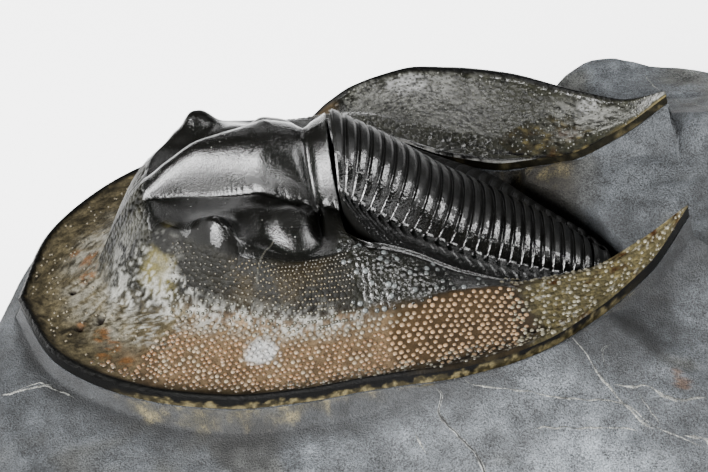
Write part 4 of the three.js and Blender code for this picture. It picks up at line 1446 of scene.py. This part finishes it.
def rock_row(near, far, mid, stops=4, detail=6):
    """Rock between the inner margins: points from the near to the far one."""
    shift = TAIL_SHIFT * float(smoothstep(mid, 32, 41))
    ended = float(smoothstep(mid, TAIL_PIT_END, TAIL_PIT_END + 0.8))
    widened = float(smoothstep(mid, TAIL_PIT_END + 0.8, TAIL_PIT_END + 2.4))
    wide = float(bed_width(mid))
    knots = []
    for margin_point, sign in ((near, -1), (far, 1)):
        margin = abs(margin_point[1])
        edge = mix(min(wide + sign * shift, margin - 0.4), 0.7 * margin, widened)
        free = max(ended, float(smoothstep(margin - edge, 0.5, 1.4)))
        ls = [mix(shift, sign * edge, k / stops) for k in range(1, stops + 1)]
        ups = [ended] * stops
        ls += [sign * mix(min(edge + 0.3, margin - 0.25), 0.85 * margin, widened)]
        ls += [sign * (margin - JOINT_GAP)]
        ups += [free, free]
        knots.append((margin_point, margin, ls, ups))
    row = []
    for (point, margin, ls, ups), flip in ((knots[0], True), (knots[1], False)):
        part_l = np.array([shift] + ls)
        part_up = np.array([ended] + ups)
        last = len(part_l) - 1
        between_knots = np.linspace(0, last, last * detail + 1)
        dense, dense_up = (
            np.interp(between_knots, np.arange(last + 1), part) for part in (part_l, part_up)
        )
        s = mix(mid, point[0], (dense / margin) ** 2)
        h = mix(bed(s) - BED_GAP, fill(s, dense) + relief(s, dense), dense_up)
        part = np.stack([s, dense, h], -1)
        row.append(part[::-1] if flip else part[1:])
    return np.concatenate([[near], row[0], row[1], [far]])


# Places on the block that differ from the rest: x, y, radius, in the block's frame
PALE_PATCHES = [(35.0, -16.9, 2.2), (33.5, -16, 2), (38, -24, 4.5)]
# Painted shade: under the near rim and beside the near prolongation
SHADE_PATCHES = [
    (40.8, -15.3, 2.2),
    (43, -13.5, 2.5),
    (46, -9, 3.5),
    (15, -17.5, 2.2),
    (21, -18.8, 2.2),
]
# Painted shade: between the prolongations, behind the tail
SHADE_BEHIND_TAIL = (42, 2, 9)
ROCK_RUST = [(44.2, -17.6, 0.5), (43.9, -16.9, 0.4)]


def rock_looks(grid):
    """Colour, gloss and lift of the limestone at the points of a grid."""
    broad = layers(grid, 7.0, 3, seed=31)
    middle = layers(grid, 2.4, 4, seed=32)
    fine = layers(grid, 0.8, 3, seed=33)
    x, y = grid[..., 0], grid[..., 1]
    tone = 1.04 + 0.3 * broad + 0.65 * middle + 0.5 * fine
    tone = tone * mix(0.6, 1, smoothstep(x + 2 * broad, 6, 20))
    # Painted shade between the prolongations, behind the tail
    tone = tone * (1 - 0.3 * blot(x, y, SHADE_BEHIND_TAIL, SHADE_BEHIND_TAIL[2], 0.3 * middle))
    tone = tone * (1 + 0.6 * smoothstep(y, 9, 16))
    for px, py, size in PALE_PATCHES:
        tone = tone + 1.3 * blot(x, y, (px, py), size, 0.6 * middle)
    # Painted shade under the near rim and beside the near prolongation
    for px, py, size in SHADE_PATCHES:
        tone = tone - 0.42 * blot(x, y, (px, py), size, 0.6 * middle)
    colour = LIMESTONE * np.maximum(tone, 0.3)[..., None]
    earthy = smoothstep(layers(grid, 4.0, 3, seed=34), 0.05, 0.4)
    colour = tinted(colour, EARTHY_STONE * np.maximum(tone, 0.3)[..., None], 0.5 * earthy)
    for px, py, size in ROCK_RUST:
        rust = blot(x, y, (px, py), size, 0.8 * fine)
        colour = tinted(colour, RUST, 0.65 * rust)
    lift = 0.12 * middle + 0.06 * fine
    return colour, 0.3 + 0.2 * fine, lift


def weather(grid, hold):
    """Looks of a sheet of the rock, with its points moved up or down; hold is 0 where they stay."""
    colour, gloss, lift = rock_looks(grid)
    moved = grid.copy()
    moved[..., 2] += hold * lift
    return moved, colour, gloss


# Mesh of the block: stations before and behind the neck, points out from the rim, points across
# between the prolongations (as rock_row gives them) and rings down the sides
FRONT_STATIONS = 90
BACK_STATIONS = 140
RAY_POINTS = 64
ROW_POINTS = 75
SIDE_RINGS = 24


def build_block():
    skin = Skin()
    stations = near_first(FRONT_STATIONS, BACK_STATIONS)
    outer = np.linspace(0, 1, RAY_POINTS)[1:]
    rays, seats = {}, {}
    for side in (-1, 1):
        u, v = np.meshgrid(stations, np.linspace(0, 1, 6), indexing="ij")
        s, l, h = shield_under(u, v, side)
        seats[side] = place(s, l, h - JOINT_GAP)
        skin.sheet(seats[side], LIMESTONE, 0.2, turn=side > 0)
        flat = rock_ray(stations, side, outer)
        hold = smoothstep(np.arange(flat.shape[1]), 2, 9)[None, :]
        rays[side], colour, gloss = weather(flat, hold)
        column = np.arange(flat.shape[1])
        # Painted shade: the rock is darker in the scoop under the rim and near the foot of the rim
        scoop_shade = 1 - smoothstep(column, 6, 24 + 6 * np.sin(stations * 2.3)[:, None])
        foot_shade = 1 - 0.45 * (1 - smoothstep(column, 8, 16))
        colour = colour * (1 - 0.5 * scoop_shade[..., None]) * foot_shade[None, :, None]
        away = column + 10 * layers(rays[side], 1.5, 4, seed=36)
        close = (1 - smoothstep(away, -2, 3)) * between(stations, 2, 12.6, 0.6)[:, None]
        flecks = smoothstep(layers(rays[side], 0.5, 3, seed=37), 0, 0.4)
        colour = tinted(colour, mix(SEAM_EARTH, CRUST, flecks[..., None]), 0.8 * close)
        skin.sheet(rays[side], colour, gloss, turn=side < 0)
    rows = []
    for u in stations[FRONT_STATIONS - 1 :]:
        ends = []
        for side in (-1, 1):
            s, l, h = shield_under(np.array([u]), np.array([1.0]), side)
            ends.append(np.array([s[0], l[0], h[0] - JOINT_GAP]))
        if u == NECK:
            rows.append(np.repeat(ends[:1], ROW_POINTS, 0))
        else:
            rows.append(rock_row(ends[0], ends[1], float(row_middle(u))))
    rows = np.array(rows)
    inside = place(rows[..., 0], rows[..., 1], rows[..., 2])
    column = np.arange(inside.shape[1])
    hold = smoothstep(np.minimum(column, column[-1] - column), 0, 8)[None, :]
    hold = hold * smoothstep(rows[..., 0], 41.5, 43)
    hold[-1] = 0
    inside, colour, gloss = weather(inside, hold)
    lumpy = between(rows[..., 0], 33.5, 39.5, 0.8) * smoothstep(rows[..., 1], 2.5, 4.5)
    flecks = smoothstep(layers(inside, 0.9, 3, seed=35), 0.1, 0.5)
    soil = mix(BED_EARTH, CRUST, flecks[..., None])
    skin.sheet(inside, tinted(colour, soil, 0.85 * lumpy), gloss)

    near_ray, far_ray = rays[-1][-1], rays[1][-1]
    line = np.concatenate([seats[-1][-1][:-1], inside[-1], seats[1][-1][:-1][::-1]])
    t = np.linspace(0, 1, len(line))
    end = mix(near_ray[-1], far_ray[-1], t[:, None])
    behind = [line]
    last = len(line) - 1
    for w in range(1, len(near_ray)):
        go = [(ray[w][0] - ray[0][0]) / (ray[-1][0] - ray[0][0]) for ray in (near_ray, far_ray)]
        p = mix(line, end, mix(go[0], go[1], t)[:, None])
        level = p[:, 0] * np.tan(PITCH) + fill(p[:, 0], p[:, 1]) / np.cos(PITCH)
        ray = np.where(t < 0.5, near_ray[w][2], far_ray[w][2])
        k = np.arange(last + 1)
        open_ = smoothstep(np.minimum(k, last - k), 0, 12)
        p[:, 2] = mix(ray, level + relief(p[:, 0], p[:, 1]), open_)
        p[0], p[-1] = near_ray[w], far_ray[w]
        behind.append(p)
    k = np.arange(last + 1)
    hold = smoothstep(np.arange(len(behind)), 0, 6)[:, None]
    hold = hold * smoothstep(np.minimum(k, last - k), 0, 6)
    behind, colour, gloss = weather(np.array(behind), hold)
    skin.sheet(behind, colour, gloss)

    near_low = np.stack(near_foot(stations), -1)
    far_low = np.stack(far_foot(stations), -1)
    right = behind[-1][1:-1]
    t = np.linspace(0, 1, len(right) + 2)[1:-1, None]
    edge = np.concatenate([rays[-1][:, -1], right, rays[1][::-1, -1]])
    low = np.concatenate([near_low, mix(near_low[-1], far_low[-1], t), far_low[::-1]])
    low = np.concatenate([low, np.full((len(low), 1), float(BLOCK["bottom"]))], 1)
    middle = np.array([ORIGIN[0], ORIGIN[1]])
    rings = []
    for k in np.linspace(0, 1, SIDE_RINGS):
        p = mix(edge, low, k)
        inwards = np.abs(relief(p[:, 0] + p[:, 1], 3 * p[:, 2])) * np.sin(np.pi * k) ** 0.3
        away = p[:, :2] - middle
        p[:, :2] -= away * (1.5 * inwards / np.linalg.norm(away, axis=1))[:, None] * (0 < k < 1)
        rings.append(p)
    side_wall = np.stack(rings, 1)
    colour, gloss, _ = rock_looks(side_wall)
    skin.sheet(side_wall, colour, gloss, turn=True)
    centre = np.broadcast_to([middle[0], 0, BLOCK["bottom"]], low.shape)
    skin.sheet(np.stack([low, mix(low, centre, 0.5), centre], 1), LIMESTONE, 0.2, turn=True)
    return skin.build("limestone_block", stone_finish, "limestone", ["matrix"])


# Veins of calcite and cracks, by points on the top of the block: x, y; then the width
VEINS = [
    ([(-1.5, -8.2), (-0.1, -8.0), (1.6, -8.1), (2.6, -8.9), (3.6, -9.9)], 0.16),
    ([(-0.6, -8.1), (1.0, -7.6), (2.2, -8.2)], 0.08),
    (
        [(28.0, -16.4), (30.2, -17.9), (32.5, -18.4), (35.8, -18.8)]
        + [(39.8, -19.0), (42.0, -20.4), (45.4, -21.9)],
        0.1,
    ),
    (
        [(36.2, -14.5), (37.7, -15.9), (38.3, -17.1)]
        + [(39.3, -18.3), (41.1, -20.0), (42.0, -20.7)],
        0.17,
    ),
    ([(39.4, -18.0), (41.3, -17.9), (43.2, -18.8), (45.7, -18.9)], 0.15),
    ([(41.1, -18.3), (42.1, -19.8), (42.5, -20.5)], 0.07),
    ([(43.8, -21.2), (45.2, -21.4), (46.6, -22.4)], 0.28),
    ([(26.1, -19.1), (26.4, -19.8), (26.7, -20.6)], 0.12),
    ([(33.7, -20.7), (35.7, -20.5), (38.4, -20.4), (41.0, -20.6)], 0.08),
    ([(30.7, -15.7), (32.6, -16.1), (34.1, -15.0)], 0.12),
    ([(50, 9), (47, 14), (45.5, 18.5)], 0.08),
    ([(8, -25.5), (14, -22.5), (21, -24), (26, -22.8)], 0.06),
]
CRACKS = [
    (
        [(27.4, -17.4), (27.9, -18.0), (27.7, -18.6), (28.7, -19.9)]
        + [(29.6, -20.9), (30.5, -22.4), (31.2, -25)],
        0.07,
    ),
    ([(39.6, -15.2), (38.9, -15.8), (39.2, -17.2)], 0.05),
]


LINE_STEP = 0.08
LINE_SINK = 0.03  # how far the strip's edges lie under the rock
ABOVE_BLOCK = 0.06  # metres


def lay_line(skin, tree, knots, width, colour, seed, lift):
    """A ragged strip along knots, laid on the block."""
    knots = np.array(knots, float)
    steps = np.concatenate([[0], np.cumsum(np.linalg.norm(np.diff(knots, axis=0), axis=1))])
    path = curve(np.column_stack([steps, knots]))
    t = np.arange(0, steps[-1], LINE_STEP)
    x, y = path(t)
    where = np.column_stack([t, np.full_like(t, 10.0 * seed), 0 * t])
    x = x + 0.22 * layers(where, 1.6, 4, seed=41)
    y = y + 0.22 * layers(where, 1.6, 4, seed=42)
    across = np.column_stack([-np.gradient(y), np.gradient(x)])
    across /= np.linalg.norm(across, axis=1, keepdims=True)
    ends = smoothstep(t, 0, 0.8) * (1 - smoothstep(t, steps[-1] - 0.8, steps[-1]))
    half = 0.5 * width * ends * np.maximum(0.15, 1 + 1.4 * layers(where, 0.7, 3, seed=43))
    rows = []
    slope = 0.5 * lift
    section = ((-1, -LINE_SINK), (-0.85, slope), (0, lift), (0.85, slope), (1, -LINE_SINK))
    for k, height in section:
        out = k * half
        at = to_row(np.column_stack([x + out * across[:, 0], y + out * across[:, 1], 0 * x]))
        row = []
        for px, py, _ in at:
            hit = tree.ray_cast(Vector((px, py, ABOVE_BLOCK)), Vector((0, 0, -1)))[0]
            row.append((px, py, hit.z if hit else np.nan))
        row = np.array(row) * 1000 + ORIGIN
        row[:, 2] += height
        rows.append(row)
    strip = np.stack(rows, 1)
    sound = ~np.isnan(strip).any((1, 2))
    tone = 0.9 + 1.2 * layers(strip, 0.5, 3, seed=44)
    if sound.all():
        skin.sheet(strip, colour * tone[..., None], 0.5, turn=True)


def build_veins(block):
    mesh = block.data
    corners = [v.co for v in mesh.vertices]
    tree = BVHTree.FromPolygons(corners, [tuple(f.vertices) for f in mesh.polygons])
    calcite, gaps = Skin(), Skin()
    for seed, (knots, width) in enumerate(VEINS):
        lay_line(calcite, tree, knots, width, CALCITE, seed, 0.012)
    for seed, (knots, width) in enumerate(CRACKS):
        lay_line(calcite, tree, knots, 2.6 * width, CRACK_EDGE, 20 + seed, 0.008)
        lay_line(gaps, tree, knots, width, CRACK_GAP, 20 + seed, 0.02)
    calcite.build("calcite_veins", stone_finish, "limestone")
    gaps.build("cracks", stone_finish, "limestone")


build_granules(build_shield())
build_thorax()
build_veins(build_block())

# Floor, light and camera
FLOOR_GLOW = 3.0
SKY = 0.13
SOFTBOXES = [
    ("key", (-0.33, -0.33, 0.185), (0.28, 0.28), 14.5),
    ("right", (0.36, -0.13, 0.32), (0.2, 0.2), 3.0),
    ("back", (0.05, 0.38, 0.34), (0.26, 0.08), 0.7),
]
HEAD_MIDDLE = (0, 0, 0.015)

floor_mat = bpy.data.materials.new("floor")
floor_mat.use_nodes = True
floor_shader = floor_mat.node_tree.nodes["Principled BSDF"]
floor_shader.inputs["Base Color"].default_value = (0.9, 0.9, 0.9, 1)
floor_shader.inputs["Roughness"].default_value = 0.9
floor_shader.inputs["Emission Color"].default_value = (1, 1, 1, 1)
floor_shader.inputs["Emission Strength"].default_value = FLOOR_GLOW
bpy.ops.mesh.primitive_plane_add(size=4, location=(0, 0, 0))
floor = bpy.context.object
floor.name = "floor"
floor.data.materials.append(floor_mat)

world = bpy.data.worlds.new("studio")
bpy.context.scene.world = world
world.use_nodes = True
world.node_tree.nodes["Background"].inputs["Color"].default_value = (1, 1, 1, 1)
world.node_tree.nodes["Background"].inputs["Strength"].default_value = SKY


def softbox(name, at, size, power):
    light = bpy.data.lights.new(name, "AREA")
    light.shape = "RECTANGLE"
    light.size, light.size_y = size
    light.energy = power
    lamp = bpy.data.objects.new(name, light)
    lamp.location = at
    lamp.rotation_euler = (Vector(HEAD_MIDDLE) - Vector(at)).to_track_quat("-Z", "Y").to_euler()
    bpy.context.scene.collection.objects.link(lamp)


for softbox_values in SOFTBOXES:
    softbox(*softbox_values)

# Camera: where the photo was taken from, by the place of the front rim in it
PHOTO = (708, 472)
SCALE = 14.43  # pixels to a millimetre at the front rim
AZIMUTH = math.radians(-3.9)
ELEVATION = math.radians(36.2)
DISTANCE = 400.0
FRONT_RIM_PIXEL = (18, 300)


def add_camera():
    back = np.array(
        [
            math.sin(AZIMUTH) * math.cos(ELEVATION),
            -math.cos(AZIMUTH) * math.cos(ELEVATION),
            math.sin(ELEVATION),
        ]
    )
    right = np.array([math.cos(AZIMUTH), math.sin(AZIMUTH), 0])
    up = np.cross(back, right)
    across = (PHOTO[0] / 2 - FRONT_RIM_PIXEL[0]) / SCALE
    down = (PHOTO[1] / 2 - FRONT_RIM_PIXEL[1]) / SCALE
    aim = right * across - up * down
    eye = to_row(aim + back * DISTANCE)
    data = bpy.data.cameras.new("camera")
    data.sensor_width = 36
    data.lens = 36 * SCALE * DISTANCE / PHOTO[0]
    data.clip_start, data.clip_end = 0.01, 10
    data.dof.use_dof = False
    camera = bpy.data.objects.new("camera", data)
    camera.location = eye
    camera.rotation_euler = Vector(-back).to_track_quat("-Z", "Y").to_euler()
    bpy.context.scene.collection.objects.link(camera)
    bpy.context.scene.camera = camera


add_camera()
